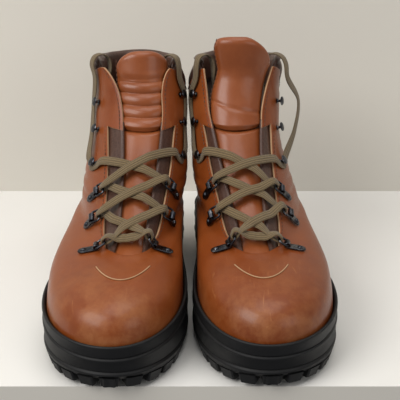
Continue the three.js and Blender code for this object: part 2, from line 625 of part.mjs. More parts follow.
function frameMatrix(frame, x, height) {
  const matrix = new THREE.Matrix4().makeBasis(frame.x, frame.y, frame.z);
  return matrix.setPosition(place(frame, x, 0, height));
}

// Three speed hooks on one stay that lies behind the leather.
function hookStay(side) {
  const spots = HOOK_ROWS.map((row) => spotAt(side, row));
  const atT = keyed(spots.map(({ t, q }) => [t, q]));
  const columnAt = (t, q) => {
    const wide = columnSigma(side, EDGE_COLUMNS, t);
    const spread = (sigmaAt(side, q, t) - wide) / (1 - wide);
    return side * (EDGE_COLUMNS + spread * (COLUMNS_PER_SIDE - EDGE_COLUMNS));
  };
  const strip = layer({
    columns: [-1, 1].map((edge) => (t) => columnAt(t, atT(t) + edge * STAY.halfWidth)),
    rows: STAY.rows, outer: LAYER_TOP, inner: LAYER_TOP - STAY.thickness,
  });
  const hooks = spots.flatMap((spot) => {
    const frame = surfaceFrame(side, spot);
    const bottom = LAYER_TOP - STAY.thickness - HOOK.root;
    const post = new THREE.CylinderGeometry(HOOK.post, HOOK.post, HOOK.rise - bottom, 6);
    post.rotateX(Math.PI / 2).translate(0, 0, (HOOK.rise + bottom) / 2);
    const head = new THREE.CylinderGeometry(HOOK.head * 0.75, HOOK.head, HOOK.headThickness, 8);
    head.rotateX(Math.PI / 2).scale(1, 0.8, 1).translate(0.8, 0, HOOK.rise);
    return [post, head].map((piece) => piece.applyMatrix4(frameMatrix(frame, 0, 0)));
  });
  return join([strip, ...hooks]);
}

// ---------------------------------------------------------------- the lace
const LACE_TURN = 2.3;                // radius of the lace's turn round a ring's far bar
const LACE_SECTION = [[3.1, 0], [2.3, 0.65], [-2.3, 0.65], [-3.1, 0], [-2.3, -0.65], [2.3, -0.65]];
const BUNCHED = 0.6;                 // how much narrower it is inside a ring
const UNDER = 1.6;                   // height of a strand over the ridge
const OVER = 3.7;                    // and of the strand that crosses it
const FREE_END = { radius: 1.6, step: 11 };
// The crossing order by side and row, with the strands that lie on top. Side a is where those start.
const CROSSINGS = [
  { from: 'a3', to: 'b2', over: false }, { from: 'b2', to: 'a1', over: true },
  { from: 'a1', to: 'b0', over: false }, { from: 'b0', to: 'a0', over: false },
  { from: 'a0', to: 'b1', over: true }, { from: 'b1', to: 'a2', over: false },
  { from: 'a2', to: 'b3', over: true },
];
// Whether the lace arrives at each ring under its far bar.
const ARRIVES_LOW = { b2: true, a1: false, b0: true, a0: false, b1: false, a2: true };

// A flat lace through a list of stops, each with its width direction and how far it is bunched up.
function flatLace(stops) {
  const points = stops.map((stop) => stop.at);
  const sides = LACE_SECTION.length;
  const corners = [];
  points.forEach((point, i) => {
    const before = points[Math.max(0, i - 1)];
    const after = points[Math.min(points.length - 1, i + 1)];
    const ahead = after.clone().sub(before).normalize();
    const { wide: direction, bunch = 1 } = stops[i];
    const wide = direction.clone().addScaledVector(ahead, -direction.dot(ahead)).normalize();
    const thick = new THREE.Vector3().crossVectors(ahead, wide);
    for (const [a, b] of LACE_SECTION) {
      corners.push(point.clone().addScaledVector(wide, a * bunch).addScaledVector(thick, b));
    }
  });
  const triangles = [];
  for (let i = 0; i < points.length - 1; i += 1) {
    for (let k = 0; k < sides; k += 1) {
      const a = i * sides + k;
      const b = i * sides + ((k + 1) % sides);
      triangles.push([a, b, b + sides], [a, b + sides, a + sides]);
    }
  }
  const last = (points.length - 1) * sides;
  for (let k = 1; k < sides - 1; k += 1) {
    triangles.push([0, k + 1, k], [last, last + k, last + k + 1]);
  }
  return fromTriangles(corners, triangles);
}

const sideOf = (key) => ((key[0] === 'a') === (boot.overFrom === 'out') ? OUTSIDE : INSIDE);
const rowOf = (key) => spotAt(sideOf(key), Number(key[1]));

// The middle of a ring's far bar, with the directions along the ring and over it.
function ringBar(key) {
  const frame = clipFrame(sideOf(key), rowOf(key));
  const along = frame.x.clone().applyAxisAngle(frame.y, frame.tilt);
  const over = frame.z.clone().applyAxisAngle(frame.y, frame.tilt);
  const bar = place(frame, KNUCKLE.x, 0, CLIP_HEIGHT).addScaledVector(along, RING.reach);
  return { frame, along, over, bar };
}

// The turn round a ring's far bar, through the ring.
function ringTurn(key, low) {
  const { frame, along, over, bar } = ringBar(key);
  const diagonal = LACE_TURN * Math.SQRT1_2;
  const turn = [[4.5, -LACE_TURN], [0, -LACE_TURN], [-diagonal, -diagonal], [-LACE_TURN, 0],
    [-diagonal, diagonal], [0, LACE_TURN], [4.5, LACE_TURN]];
  const away = frame.tilt > 0 ? frame.x : along;
  const points = turn.map(([a, b]) => ({
    at: bar.clone().addScaledVector(a > 0 ? away : along, a).addScaledVector(over, b),
    wide: frame.y.clone().multiplyScalar(Math.sign(frame.y.dot(frame.up))),
    bunch: a > 0 ? 0.72 : BUNCHED,
  }));
  return low ? points : points.reverse();
}

// The turn round a hook's post, flat on the leather, ending where the free end begins.
function hookTurn(key) {
  const frame = surfaceFrame(sideOf(key), rowOf(key));
  const path = [[11, -2.2, 1.8, 0, 1], [5, -3.7, 1.4, 0, 0.85], [0, -4.4, 1.3, 0.1, BUNCHED],
    [-3.6, -3.2, 1.2, 0.5, BUNCHED], [-4.9, 0, 1.1, 1, BUNCHED], [-5.2, 4, 1.1, 1, 0.8]];
  return path.map(([x, along, z, twist, bunch]) => ({
    at: place(frame, x, along, z),
    wide: frame.up.clone().multiplyScalar(1 - twist).addScaledVector(frame.x, twist),
    bunch,
  }));
}

// The strand over the ridge between two turns. Seen square to the boot it runs straight from one to
// the other.
function strand({ from, to, over }) {
  const [start, end] = [from, to].map((key) => (Number(key[1]) < RING_ROWS
    ? ringBar(key).bar : place(surfaceFrame(sideOf(key), rowOf(key)), 11, -2.2, 0)));
  const [a, b] = [rowOf(from).t, rowOf(to).t];
  const upwards = overLacing(0, (a + b) / 2 + 0.05, 0).sub(overLacing(0, (a + b) / 2, 0)).normalize();
  return [0.33, 0.42, 0.5, 0.58, 0.67].map((f) => {
    const height = over ? OVER : UNDER + (1.2 * Math.abs(f - 0.5)) / 0.17;
    const target = start.clone().lerp(end, f);
    const at = (t) => overLacing(target.x - overLacing(0, t, 0).x, t, height);
    let low = Math.min(a, b) - 0.06;
    let high = Math.max(a, b) + 0.12;
    for (let i = 0; i < 20; i += 1) {
      const middle = (low + high) / 2;
      if (at(middle).sub(target).dot(upwards) < 0) low = middle;
      else high = middle;
    }
    return { at: at(low), wide: at(low + 0.01).sub(at(low - 0.01)) };
  });
}

function laceCrossing() {
  const stops = [];
  CROSSINGS.forEach((crossing, i) => {
    if (i === 0) stops.push(...hookTurn(crossing.from).reverse());
    stops.push(...strand(crossing));
    if (i === CROSSINGS.length - 1) stops.push(...hookTurn(crossing.to));
    else stops.push(...ringTurn(crossing.to, ARRIVES_LOW[crossing.to]));
  });
  return flatLace(stops);
}

// Where a free end lies inside the boot, from the collar down to the footbed and along it, for the
// right boot's outer end. The inner end takes the other side of the boot.
const ROUTE_INSIDE = [[-23, 64, 168], [-23, 60, 150], [-24, 55, 132], [-26, 49, 113], [-28, 45, 92], [-29, 38, 70],
  [-29, 26, 54], [-28, 8, 46], [-29, -14, 44.2], [-30, -38, 43.6], [-30, -62, 43], [-27, -84, 42.4],
  [-18, -96, 42.2], [-9, -90, 42.3], [-8, -70, 42.8], [-9, -48, 43.4]];

// Its half turn over the collar: the middle's offset, the height above the collar's edge, and how
// far the front line climbs for a t of 1.
const COLLAR_TURN = { middle: -5, radius: 8.6, above: 1, rise: 180 };

function freeRoute(side) {
  const bow = side === OUTSIDE ? boot.laceBow : 0;
  const start = surfaceFrame(side, spotAt(side, HOOK_ROWS[0]));
  const points = [place(start, -5.6, 4 + FIT_GAP, 1.7), place(start, -7, 9, 2.6)];
  HOOK_ROWS.slice(1).forEach((row, i) => {
    const frame = surfaceFrame(side, spotAt(side, row));
    points.push(place(frame, -7 - bow * [0.7, 1][i], 0, 2.2 + bow * [0.6, 0.8][i]));
  });
  const q = side * (side === OUTSIDE ? 36 : 33);
  points.push(overLacing(q, 0.94, 2.8 + bow * 0.5));
  for (const angle of [0, 45, 90, 135, 180]) {
    const across = Math.cos(angle * DEGREE);
    const height = COLLAR_TURN.above + COLLAR_TURN.radius * Math.sin(angle * DEGREE);
    const offset = COLLAR_TURN.middle + (COLLAR_TURN.radius + bow * Math.max(0, across) * 0.2) * across;
    points.push(overLacing(q, 1 + height / COLLAR_TURN.rise, offset));
  }
  points.push(...ROUTE_INSIDE.map(([x, y, z]) => (
    new THREE.Vector3(-side * x + boot.lean * THREE.MathUtils.smoothstep(z, 100, 180), y, z))));
  return points;
}

function freeEnd(side) {
  const curve = new THREE.CatmullRomCurve3(freeRoute(side), false, 'centripetal');
  const section = new THREE.Shape(Array.from({ length: 8 }, (_, k) => new THREE.Vector2(
    FREE_END.radius * Math.cos((k * Math.PI) / 4),
    FREE_END.radius * Math.sin((k * Math.PI) / 4),
  )));
  const steps = Math.round(curve.getLength() / FREE_END.step);
  return new THREE.ExtrudeGeometry(section, { steps, extrudePath: curve, bevelEnabled: false });
}

// ---------------------------------------------------------------- materials
const finish = (color, roughness, metalness = 0) => new THREE.MeshStandardMaterial({ color, roughness, metalness });
const tanLeather = finish(0xa3522f, 0.45);
const darkLeather = finish(0x4a2f2a, 0.5);
const blackRubber = finish(0x1b1b1d, 0.75);
const laceCord = finish(0x77603c, 0.9);
const gunmetal = finish(0x33363b, 0.35, 0.9);
const springSteel = finish(0x8d9094, 0.4, 0.9);
const board = finish(0xc9b48f, 0.8);
const footbedFoam = finish(0x3a3a3c, 0.9);

// ---------------------------------------------------------------- one boot, then the pair
function addMesh(group, name, geometry, material, frame, height = 0, tilt = 0) {
  const mesh = new THREE.Mesh(geometry, material);
  mesh.name = name;
  if (frame) {
    mesh.applyMatrix4(frameMatrix(frame, 0, height));
    if (tilt) {
      mesh.translateX(KNUCKLE.x);
      mesh.rotateY(tilt);
    }
  }
  group.add(mesh);
}

function makeBoot(name, settings) {
  boot = settings;
  const group = new THREE.Group();
  const add = (part, ...rest) => addMesh(group, `${name}_${part}`, ...rest);
  add('outsole', outsole(), blackRubber);
  add('midsole', midsole(), blackRubber);
  add('rand', rand(), blackRubber);
  add('shank', shank(), springSteel);
  add('insole_board', insoleBoard(), board);
  add('footbed', footbed(), footbedFoam);
  const holes = [];
  for (const [sideName, side] of [['outer', OUTSIDE], ['inner', INSIDE]]) {
    for (let row = 0; row < RING_ROWS; row += 1) {
      const frame = clipFrame(side, spotAt(side, row));
      holes.push(leatherHole(frame, LEAF.rivetX, RIVET.hole));
      add(`${sideName}_clip_${row + 1}`, clip(), gunmetal, frame, CLIP_HEIGHT);
      add(`${sideName}_ring_${row + 1}`, ringLoop(), gunmetal, frame, CLIP_HEIGHT, frame.tilt);
    }
    HOOK_ROWS.forEach((row) => holes.push(leatherHole(surfaceFrame(side, spotAt(side, row)), 0, HOOK.hole)));
    add(`${sideName}_hooks`, hookStay(side), gunmetal);
  }
  add('upper', upper(holes), tanLeather);
  add('toe_puff', toePuff(), board);
  add('heel_counter', heelCounter(), board);
  add('collar_pad', collarPad(), darkLeather);
  add('facing_strips', facingStrips(), darkLeather);
  add('tongue', tongueLower(), tanLeather);
  add('tongue_top', tongueTop(), tanLeather);
  add('lace', laceCrossing(), laceCord);
  add('outer_lace_end', freeEnd(OUTSIDE), laceCord);
  add('inner_lace_end', freeEnd(INSIDE), laceCord);
  return group;
}

const SHIFT = { x: -1.1, y: -0.95 };  // centres the pair on the origin
const pair = new THREE.Group();
for (const [name, settings, side] of [['right', RIGHT_BOOT, -1], ['left', LEFT_BOOT, 1]]) {
  const made = makeBoot(name, settings);
  made.rotation.z = side * settings.toeOut * DEGREE;
  made.scale.x = -side;
  made.position.set(side * BOOT_SPACING + SHIFT.x, settings.setBack + SHIFT.y, 0);
  pair.add(made);
}
pair.updateMatrixWorld(true);
export default pair;
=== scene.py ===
import bpy
import math
import numpy as np
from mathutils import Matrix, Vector


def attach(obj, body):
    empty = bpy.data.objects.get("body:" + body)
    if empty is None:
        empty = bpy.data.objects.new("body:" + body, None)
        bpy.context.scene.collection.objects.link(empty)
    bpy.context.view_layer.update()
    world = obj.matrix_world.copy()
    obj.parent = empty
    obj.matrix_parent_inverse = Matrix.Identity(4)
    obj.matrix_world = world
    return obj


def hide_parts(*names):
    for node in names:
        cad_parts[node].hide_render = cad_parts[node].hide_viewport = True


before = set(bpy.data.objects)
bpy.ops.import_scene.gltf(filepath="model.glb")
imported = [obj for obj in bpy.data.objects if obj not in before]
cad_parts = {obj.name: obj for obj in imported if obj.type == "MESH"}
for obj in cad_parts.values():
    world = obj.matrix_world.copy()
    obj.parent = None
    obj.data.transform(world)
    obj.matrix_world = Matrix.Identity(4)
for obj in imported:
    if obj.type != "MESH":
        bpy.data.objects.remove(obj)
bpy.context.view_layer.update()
scene = bpy.context.scene

# Camera and room.

cameraView = {"place": (0.0078, -0.627, 0.333), "pitchDown": 21.3, "lens": 72}
room = {"backWall": 0.256, "shelfFront": -0.141, "wallTone": (0.66, 0.63, 0.565),
        "shelfTone": (0.80, 0.785, 0.75)}


def addCamera():
    data = bpy.data.cameras.new("camera")
    data.lens = cameraView["lens"]
    data.sensor_width = 36
    data.clip_start = 0.05
    camera = bpy.data.objects.new("camera", data)
    camera.location = cameraView["place"]
    camera.rotation_euler = (math.radians(90 - cameraView["pitchDown"]), 0, 0)
    scene.collection.objects.link(camera)
    scene.camera = camera


addCamera()
print("camera set")

# Smooth curves and the shape of the last, in millimetres.


def keyed(pairs, column=1):
    xs = np.array([p[0] for p in pairs], float)
    ys = np.array([p[column] for p in pairs], float)
    slopes = np.diff(ys) / np.diff(xs)
    tangents = np.zeros(len(xs))
    tangents[0], tangents[-1] = slopes[0], slopes[-1]
    for i in range(1, len(xs) - 1):
        a, b = slopes[i - 1], slopes[i]
        tangents[i] = 0 if a * b <= 0 else 2 * a * b / (a + b)

    def curve(x):
        x = np.clip(np.asarray(x, float), xs[0], xs[-1])
        i = np.clip(np.searchsorted(xs, x, side="right") - 1, 0, len(xs) - 2)
        span = xs[i + 1] - xs[i]
        f = (x - xs[i]) / span
        return (ys[i] * (2 * f**3 - 3 * f**2 + 1) + tangents[i] * span * (f**3 - 2 * f**2 + f)
                + ys[i + 1] * (3 * f**2 - 2 * f**3) + tangents[i + 1] * span * (f**3 - f**2))
    return curve


def smooth(x, low, high):
    f = np.clip((np.asarray(x, float) - low) / (high - low), 0, 1)
    return f * f * (3 - 2 * f)


frontLine = [
    (0, -147.5, 30), (0.05, -148.6, 39), (0.1, -147, 48), (0.15, -142, 56.5), (0.2, -131.5, 63.5),
    (0.26, -112, 69), (0.33, -79, 73.5), (0.42, -57, 86), (0.52, -33, 102), (0.62, -11, 120),
    (0.72, 8, 139), (0.82, 23, 157), (0.91, 33, 174), (1, 39, 190), (1.2, 47, 226)]
backLine = [
    (0, 146, 37), (0.05, 148.5, 44), (0.1, 150, 51), (0.2, 151, 65), (0.33, 149, 84), (0.42, 146, 97),
    (0.52, 142, 113), (0.62, 138.5, 130), (0.72, 137, 146), (0.82, 137.5, 161), (0.91, 140, 176),
    (1, 143, 190), (1.2, 148, 226)]
frontY, frontZ = keyed(frontLine, 1), keyed(frontLine, 2)
backY, backZ = keyed(backLine, 1), keyed(backLine, 2)
ballWide = {-1: keyed([(0, 56.5), (0.15, 55.3), (0.33, 51.5), (0.5, 48), (1, 44)]),
            1: keyed([(0, 49.2), (0.15, 48.4), (0.33, 46), (0.5, 45), (0.75, 41), (1, 40)])}
waistWide = {-1: keyed([(0, 46), (0.15, 48), (0.33, 52), (0.5, 52), (0.7, 48), (1, 44)]),
             1: keyed([(0, 41), (0.15, 43), (0.33, 45), (0.5, 45), (0.75, 41), (1, 40)])}
heelWide = {-1: keyed([(0, 37), (0.33, 36.5), (0.5, 36.5), (0.7, 38.5), (1, 44)]),
            1: keyed([(0, 37), (0.33, 36.5), (0.5, 36.5), (0.7, 37.5), (1, 40)])}
frontRound = keyed([(0, 85), (0.14, 95), (0.2, 112), (0.26, 138), (0.33, 150), (0.42, 128), (0.52, 104),
                    (0.62, 86), (0.72, 68), (0.85, 56), (1, 50)])
frontBlunt = keyed([(0, 2.4), (0.14, 2.2), (0.2, 2), (0.26, 1.8), (0.33, 1.7), (0.5, 1.9), (0.7, 2)])
backRound = keyed([(0, 42), (0.33, 45), (1, 50)])
ridgeOffset = keyed([(0, 8), (0.15, 8), (0.33, 9), (0.42, 10), (0.6, 11), (0.8, 9.5), (0.9, 6.5), (1, 2)])
wideGap = keyed([(0, 18), (0.3, 18), (0.35, 19), (0.38, 22), (0.5, 24.5), (0.62, 27), (0.75, 29),
                 (0.87, 30), (1, 33.5)])
ankle = keyed([(0.36, 0), (0.5, 0.8), (0.6, 1), (0.7, 0.7), (0.84, 0)])
throatT = 0.35
stripEndT = 0.75


ballY, waistY, heelY = -66, 10, 100  # where the three half widths are measured


def widthAlong(y, ball, waist, heel):
    frontRun, rearRun = waistY - ballY, heelY - waistY
    first, second = (waist - ball) / frontRun, (heel - waist) / rearRun
    total = np.where(first + second == 0, 1, first + second)
    steep = np.where(first * second > 0, 2 * first * second / total, 0)
    f = np.clip((y - ballY) / frontRun, 0, 1)
    g = np.clip((y - waistY) / rearRun, 0, 1)
    front = (ball * (2 * f**3 - 3 * f**2 + 1) + waist * (3 * f**2 - 2 * f**3)
             + steep * frontRun * (f**3 - f**2))
    rear = (waist * (2 * g**3 - 3 * g**2 + 1) + steep * rearRun * (g**3 - 2 * g**2 + g)
            + heel * (3 * g**2 - 2 * g**3))
    return np.where(y < waistY, front, rear)


def unit(v):
    return v / np.maximum(np.linalg.norm(v, axis=-1, keepdims=True), 1e-12)


# One boot's own shape. s is signed: negative on the little-toe side, 0 at the ridge, 1 at the heel.
class Last:
    def __init__(self, lean, ridge, pinch):
        self.lean, self.ridge, self.pinch = lean, ridge, pinch

    def half(self, side, u, t):
        y0, y1 = frontY(t), backY(t)
        length = np.hypot(y1 - y0, backZ(t) - frontZ(t))
        y = y0 + u * (y1 - y0)
        pick = lambda tables: np.where(side < 0, tables[-1](t), tables[1](t))
        full = widthAlong(y, pick(ballWide), pick(waistWide), pick(heelWide))
        full = full - np.where(side < 0, self.pinch * ankle(t), 0)
        front = np.maximum(0, 1 - u * length / frontRound(t))
        rear = np.maximum(0, 1 - (1 - u) * length / backRound(t))
        return full * np.sqrt(1 - front ** frontBlunt(t)) * np.sqrt(1 - rear**2)

    def point(self, s, t):
        s, t = np.broadcast_arrays(np.asarray(s, float), np.asarray(t, float))
        side = np.where(s < 0, -1.0, 1.0)
        u = (1 - np.cos(np.pi * np.abs(s))) / 2
        y = frontY(t) + u * (backY(t) - frontY(t))
        z = frontZ(t) + u * (backZ(t) - frontZ(t))
        ridge = ridgeOffset(t) + self.ridge * smooth(t, 0.2, 0.3)
        middle = self.lean * smooth(t, 0.45, 1) + ridge * (1 - u) ** 1.6
        return np.stack([middle + side * self.half(side, u, t), y, z], -1)

    def normal(self, s, t):
        s, t = np.broadcast_arrays(np.asarray(s, float), np.asarray(t, float))
        wrapS = lambda v: np.where(v > 1, v - 2, np.where(v < -1, v + 2, v))
        along = self.point(wrapS(s + 0.004), t) - self.point(wrapS(s - 0.004), t)
        up = self.point(s, t + 0.004) - self.point(s, np.maximum(0, t - 0.004))
        return unit(np.cross(along, up))

    def on(self, s, t, offset):
        return self.point(s, t) + self.normal(s, t) * np.asarray(offset, float)[..., None]

    def sigmaAt(self, side, q, t):
        q, t = np.broadcast_arrays(np.asarray(q, float), np.asarray(t, float))
        low, high = np.zeros(q.shape), np.full(q.shape, 0.5)
        for _ in range(26):
            middle = (low + high) / 2
            narrow = self.half(side, (1 - np.cos(np.pi * middle)) / 2, t) < q
            low, high = np.where(narrow, middle, low), np.where(narrow, high, middle)
        return (low + high) / 2

    def sAt(self, q, t):
        q, t = np.broadcast_arrays(np.asarray(q, float), np.asarray(t, float))
        side = np.where(q < 0, -1.0, 1.0)
        return np.where(np.abs(q) < 1e-6, 0, side * self.sigmaAt(side, np.abs(q), t))

    def over(self, q, t, offset=0.0):
        s = self.sAt(q, t)
        return self.on(s, t, np.broadcast_to(offset, s.shape))


boots = {
    "right": {"side": -1, "toeOut": 3.4, "setBack": 0, "lean": 1, "ridge": 4, "pinch": 0, "tonguePull": 0,
              "tongueTop": 1.09, "laceBow": 0, "overFrom": -1, "outerRows": (29, 32, 34, 37, 37, 37),
              "gap": keyed([(0, 7), (0.3, 7), (0.35, 11.5), (0.45, 11.5), (0.55, 13), (0.65, 15),
                            (0.75, 16.5), (0.88, 18), (0.94, 21), (0.98, 25), (1, 28.5)])},
    "left": {"side": 1, "toeOut": 5.4, "setBack": 3, "lean": 5.5, "ridge": 0, "pinch": 6, "tonguePull": 9,
             "tongueTop": 1.15, "laceBow": 14, "overFrom": 1, "outerRows": (29, 33, 31, 33, 34.5, 37),
             "gap": keyed([(0, 7), (0.3, 7), (0.35, 11.5), (0.45, 12), (0.55, 15), (0.65, 18), (0.75, 21),
                           (0.85, 24), (0.93, 27), (1, 30)])},
}
for name, boot in boots.items():
    boot["name"] = name
    boot["last"] = Last(boot["lean"], boot["ridge"], boot["pinch"])
spacing, shift = 54.2, (-1.1, -0.95)


# From one boot's own millimetres to the pair's metres.
def toPair(boot, points):
    p = np.asarray(points, float)
    side, turn = boot["side"], math.radians(boot["side"] * boot["toeOut"])
    x, y = -side * p[..., 0], p[..., 1]
    pairX = x * math.cos(turn) - y * math.sin(turn) + side * spacing + shift[0]
    pairY = x * math.sin(turn) + y * math.cos(turn) + boot["setBack"] + shift[1]
    return np.stack([pairX, pairY, p[..., 2]], -1) / 1000


# Meshes.


def addPiece(name, boot, points, faces, materials, body, nodes=(), faceMaterial=None, uv=None,
             flat=False, sharp=None):
    mesh = bpy.data.meshes.new(name)
    world = toPair(boot, points)
    if boot["side"] > 0:
        faces = [face[::-1] for face in faces]
    mesh.from_pydata(world.tolist(), [], faces)
    for material in materials:
        mesh.materials.append(material)
    if faceMaterial is not None:
        mesh.polygons.foreach_set("material_index", np.asarray(faceMaterial, np.int32))
    if uv is not None:
        layer = mesh.uv_layers.new(name="along")
        index = np.empty(len(mesh.loops), np.int32)
        mesh.loops.foreach_get("vertex_index", index)
        layer.data.foreach_set("uv", np.asarray(uv, float)[index].ravel())
    mesh.polygons.foreach_set("use_smooth", np.full(len(mesh.polygons), not flat))
    if sharp:
        mesh.set_sharp_from_angle(angle=math.radians(sharp))
    mesh.validate()
    mesh.update()
    piece = bpy.data.objects.new(name, mesh)
    scene.collection.objects.link(piece)
    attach(piece, body)
    if nodes:
        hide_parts(*nodes)
    return piece


def addModifier(piece, kind, **settings):
    modifier = piece.modifiers.new(kind.title(), kind)
    for key, value in settings.items():
        setattr(modifier, key, value)
    return modifier


def bevel(piece, width, segments=2, angle=50):
    addModifier(piece, "BEVEL", width=width / 1000, segments=segments, limit_method="ANGLE",
                angle_limit=math.radians(angle), harden_normals=False)


# Faces of a closed skin between an outer and an inner grid of points. keep marks the cells that exist.
# Returns points, faces and the kind of each face: 0 outside, 1 inside, 2 edge.
def shell(outer, inner, keep=None, wrap=False):
    rows, columns = outer.shape[:2]
    spans = columns if wrap else columns - 1
    if keep is None:
        keep = np.ones((rows - 1, spans), bool)
    points = np.concatenate([outer.reshape(-1, 3), inner.reshape(-1, 3)])
    half = rows * columns
    at = lambda j, i, layer: j * columns + i % columns + layer * half
    kept = lambda j, i: 0 <= j < rows - 1 and (wrap or 0 <= i < spans) and keep[j, i % spans]
    faces, kinds = [], []
    for j in range(rows - 1):
        for i in range(spans):
            if not keep[j, i]:
                continue
            faces.append((at(j, i, 0), at(j, i + 1, 0), at(j + 1, i + 1, 0), at(j + 1, i, 0)))
            faces.append((at(j, i, 1), at(j + 1, i, 1), at(j + 1, i + 1, 1), at(j, i + 1, 1)))
            kinds += [0, 1]
            if not kept(j - 1, i):
                faces.append((at(j, i, 1), at(j, i + 1, 1), at(j, i + 1, 0), at(j, i, 0)))
                kinds.append(2)
            if not kept(j + 1, i):
                faces.append((at(j + 1, i, 0), at(j + 1, i + 1, 0), at(j + 1, i + 1, 1), at(j + 1, i, 1)))
                kinds.append(2)
            if not kept(j, i - 1):
                faces.append((at(j, i, 0), at(j + 1, i, 0), at(j + 1, i, 1), at(j, i, 1)))
                kinds.append(2)
            if not kept(j, i + 1):
                faces.append((at(j, i + 1, 1), at(j + 1, i + 1, 1), at(j + 1, i + 1, 0), at(j, i + 1, 0)))
                kinds.append(2)
    used = np.unique(np.concatenate([np.array(f) for f in faces]))
    renumber = np.full(len(points), -1)
    renumber[used] = np.arange(len(used))
    faces = [tuple(int(renumber[v]) for v in f) for f in faces]
    return points[used], faces, kinds, used


# Sections joined into a tube: sections is (stations, around, 3). Ends close with fans unless it loops.
def tube(sections, loop=False):
    stations, around = sections.shape[:2]
    points = sections.reshape(-1, 3)
    faces = []
    for j in range(stations if loop else stations - 1):
        a, b = j * around, ((j + 1) % stations) * around
        faces += [(a + k, a + (k + 1) % around, b + (k + 1) % around, b + k) for k in range(around)]
    if not loop:
        last = (stations - 1) * around
        faces.append(tuple(range(around))[::-1])
        faces.append(tuple(last + k for k in range(around)))
    return points, faces


# A line through points, as evenly spaced as step allows.
def threaded(points, step, extras=()):
    p = np.asarray(points, float)
    gaps = np.sqrt(np.linalg.norm(np.diff(p, axis=0), axis=1))
    knots = np.concatenate([[0], np.cumsum(gaps)])
    columns = [p] + [np.asarray(e, float).reshape(len(p), -1) for e in extras]
    data = np.concatenate(columns, 1)
    padded = np.vstack([2 * data[0] - data[1], data, 2 * data[-1] - data[-2]])
    k = np.concatenate([[-gaps[0]], knots, [knots[-1] + gaps[-1]]])
    dense = []
    for i in range(1, len(padded) - 2):
        count = max(2, int(np.linalg.norm(padded[i + 1, :3] - padded[i, :3]) / step * 3))
        for x in np.linspace(k[i], k[i + 1], count, endpoint=False):
            a = [(padded[i - 1 + n] * (k[i + n] - x) + padded[i + n] * (x - k[i - 1 + n]))
                 / (k[i + n] - k[i - 1 + n]) for n in range(3)]
            b = [(a[n] * (k[i + 1 + n] - x) + a[n + 1] * (x - k[i - 1 + n])) / (k[i + 1 + n] - k[i - 1 + n])
                 for n in range(2)]
            dense.append((b[0] * (k[i + 1] - x) + b[1] * (x - k[i])) / (k[i + 1] - k[i]))
    dense = np.array(dense + [data[-1]])
    run = np.concatenate([[0], np.cumsum(np.linalg.norm(np.diff(dense[:, :3], axis=0), axis=1))])
    even = np.linspace(0, run[-1], max(2, int(run[-1] / step) + 1))
    return np.stack([np.interp(even, run, dense[:, c]) for c in range(dense.shape[1])], 1), run[-1]


# Materials.


class Socket:
    def __init__(self, tree, output):
        self.tree, self.output = tree, output

    def maths(self, operation, *others):
        return self.tree.node("ShaderNodeMath", {"operation": operation}, dict(enumerate((self,) + others)))

    def __add__(self, other):
        return self.maths("ADD", other)

    def __mul__(self, other):
        return self.maths("MULTIPLY", other)

    __radd__ = __add__
    __rmul__ = __mul__


class Finish:
    def __init__(self, name, **shader):
        self.material = bpy.data.materials.new(name)
        self.material.use_nodes = True
        self.nodes = self.material.node_tree.nodes
        self.shader = self.nodes["Principled BSDF"]
        for key, value in shader.items():
            self.set(key, value)

    def set(self, key, value):
        socket = self.shader.inputs[key]
        if isinstance(value, Socket):
            self.material.node_tree.links.new(value.output, socket)
        else:
            socket.default_value = value

    def node(self, kind, settings=None, inputs=None, output=0):
        made = self.nodes.new(kind)
        for key, value in (settings or {}).items():
            if key == "stops":
                ramp = made.color_ramp
                while len(ramp.elements) < len(value):
                    ramp.elements.new(0.5)
                for element, (position, tone) in zip(ramp.elements, value):
                    element.position = position
                    element.color = (*tone, 1) if hasattr(tone, "__len__") else (tone, tone, tone, 1)
            else:
                setattr(made, key, value)
        for key, value in (inputs or {}).items():
            if isinstance(value, Socket):
                self.material.node_tree.links.new(value.output, made.inputs[key])
            else:
                made.inputs[key].default_value = value
        return Socket(self, made.outputs[output])

    def where(self, scale=(1, 1, 1), turn=(0, 0, 0), source="Object"):
        coordinates = self.node("ShaderNodeTexCoord", output=source)
        return self.node("ShaderNodeMapping", {}, {"Vector": coordinates, "Scale": scale, "Rotation": turn})

    def along(self, scale=(1, 1, 1)):
        uv = self.node("ShaderNodeUVMap", {"uv_map": "along"})
        return self.node("ShaderNodeMapping", {}, {"Vector": uv, "Scale": scale})

    def noise(self, vector, scale, detail=4, roughness=0.55, distortion=0.0):
        return self.node("ShaderNodeTexNoise", {}, {"Vector": vector, "Scale": scale, "Detail": detail,
                                                    "Roughness": roughness, "Distortion": distortion})

    def ramp(self, value, *stops):
        return self.node("ShaderNodeValToRGB", {"stops": stops}, {"Fac": value})

    def mix(self, factor, a, b, blend="MIX"):
        made = self.nodes.new("ShaderNodeMix")
        made.data_type, made.blend_type = "RGBA", blend
        for index, value in ((0, factor), (6, a), (7, b)):
            if isinstance(value, Socket):
                self.material.node_tree.links.new(value.output, made.inputs[index])
            else:
                made.inputs[index].default_value = (*value, 1) if hasattr(value, "__len__") else value
        return Socket(self, made.outputs[2])

    def bump(self, *layers):
        normal = None
        for height, strength, distance in layers:
            inputs = {"Height": height, "Strength": strength, "Distance": distance / 1000}
            if normal:
                inputs["Normal"] = normal
            normal = self.node("ShaderNodeBump", {}, inputs)
        self.set("Normal", normal)


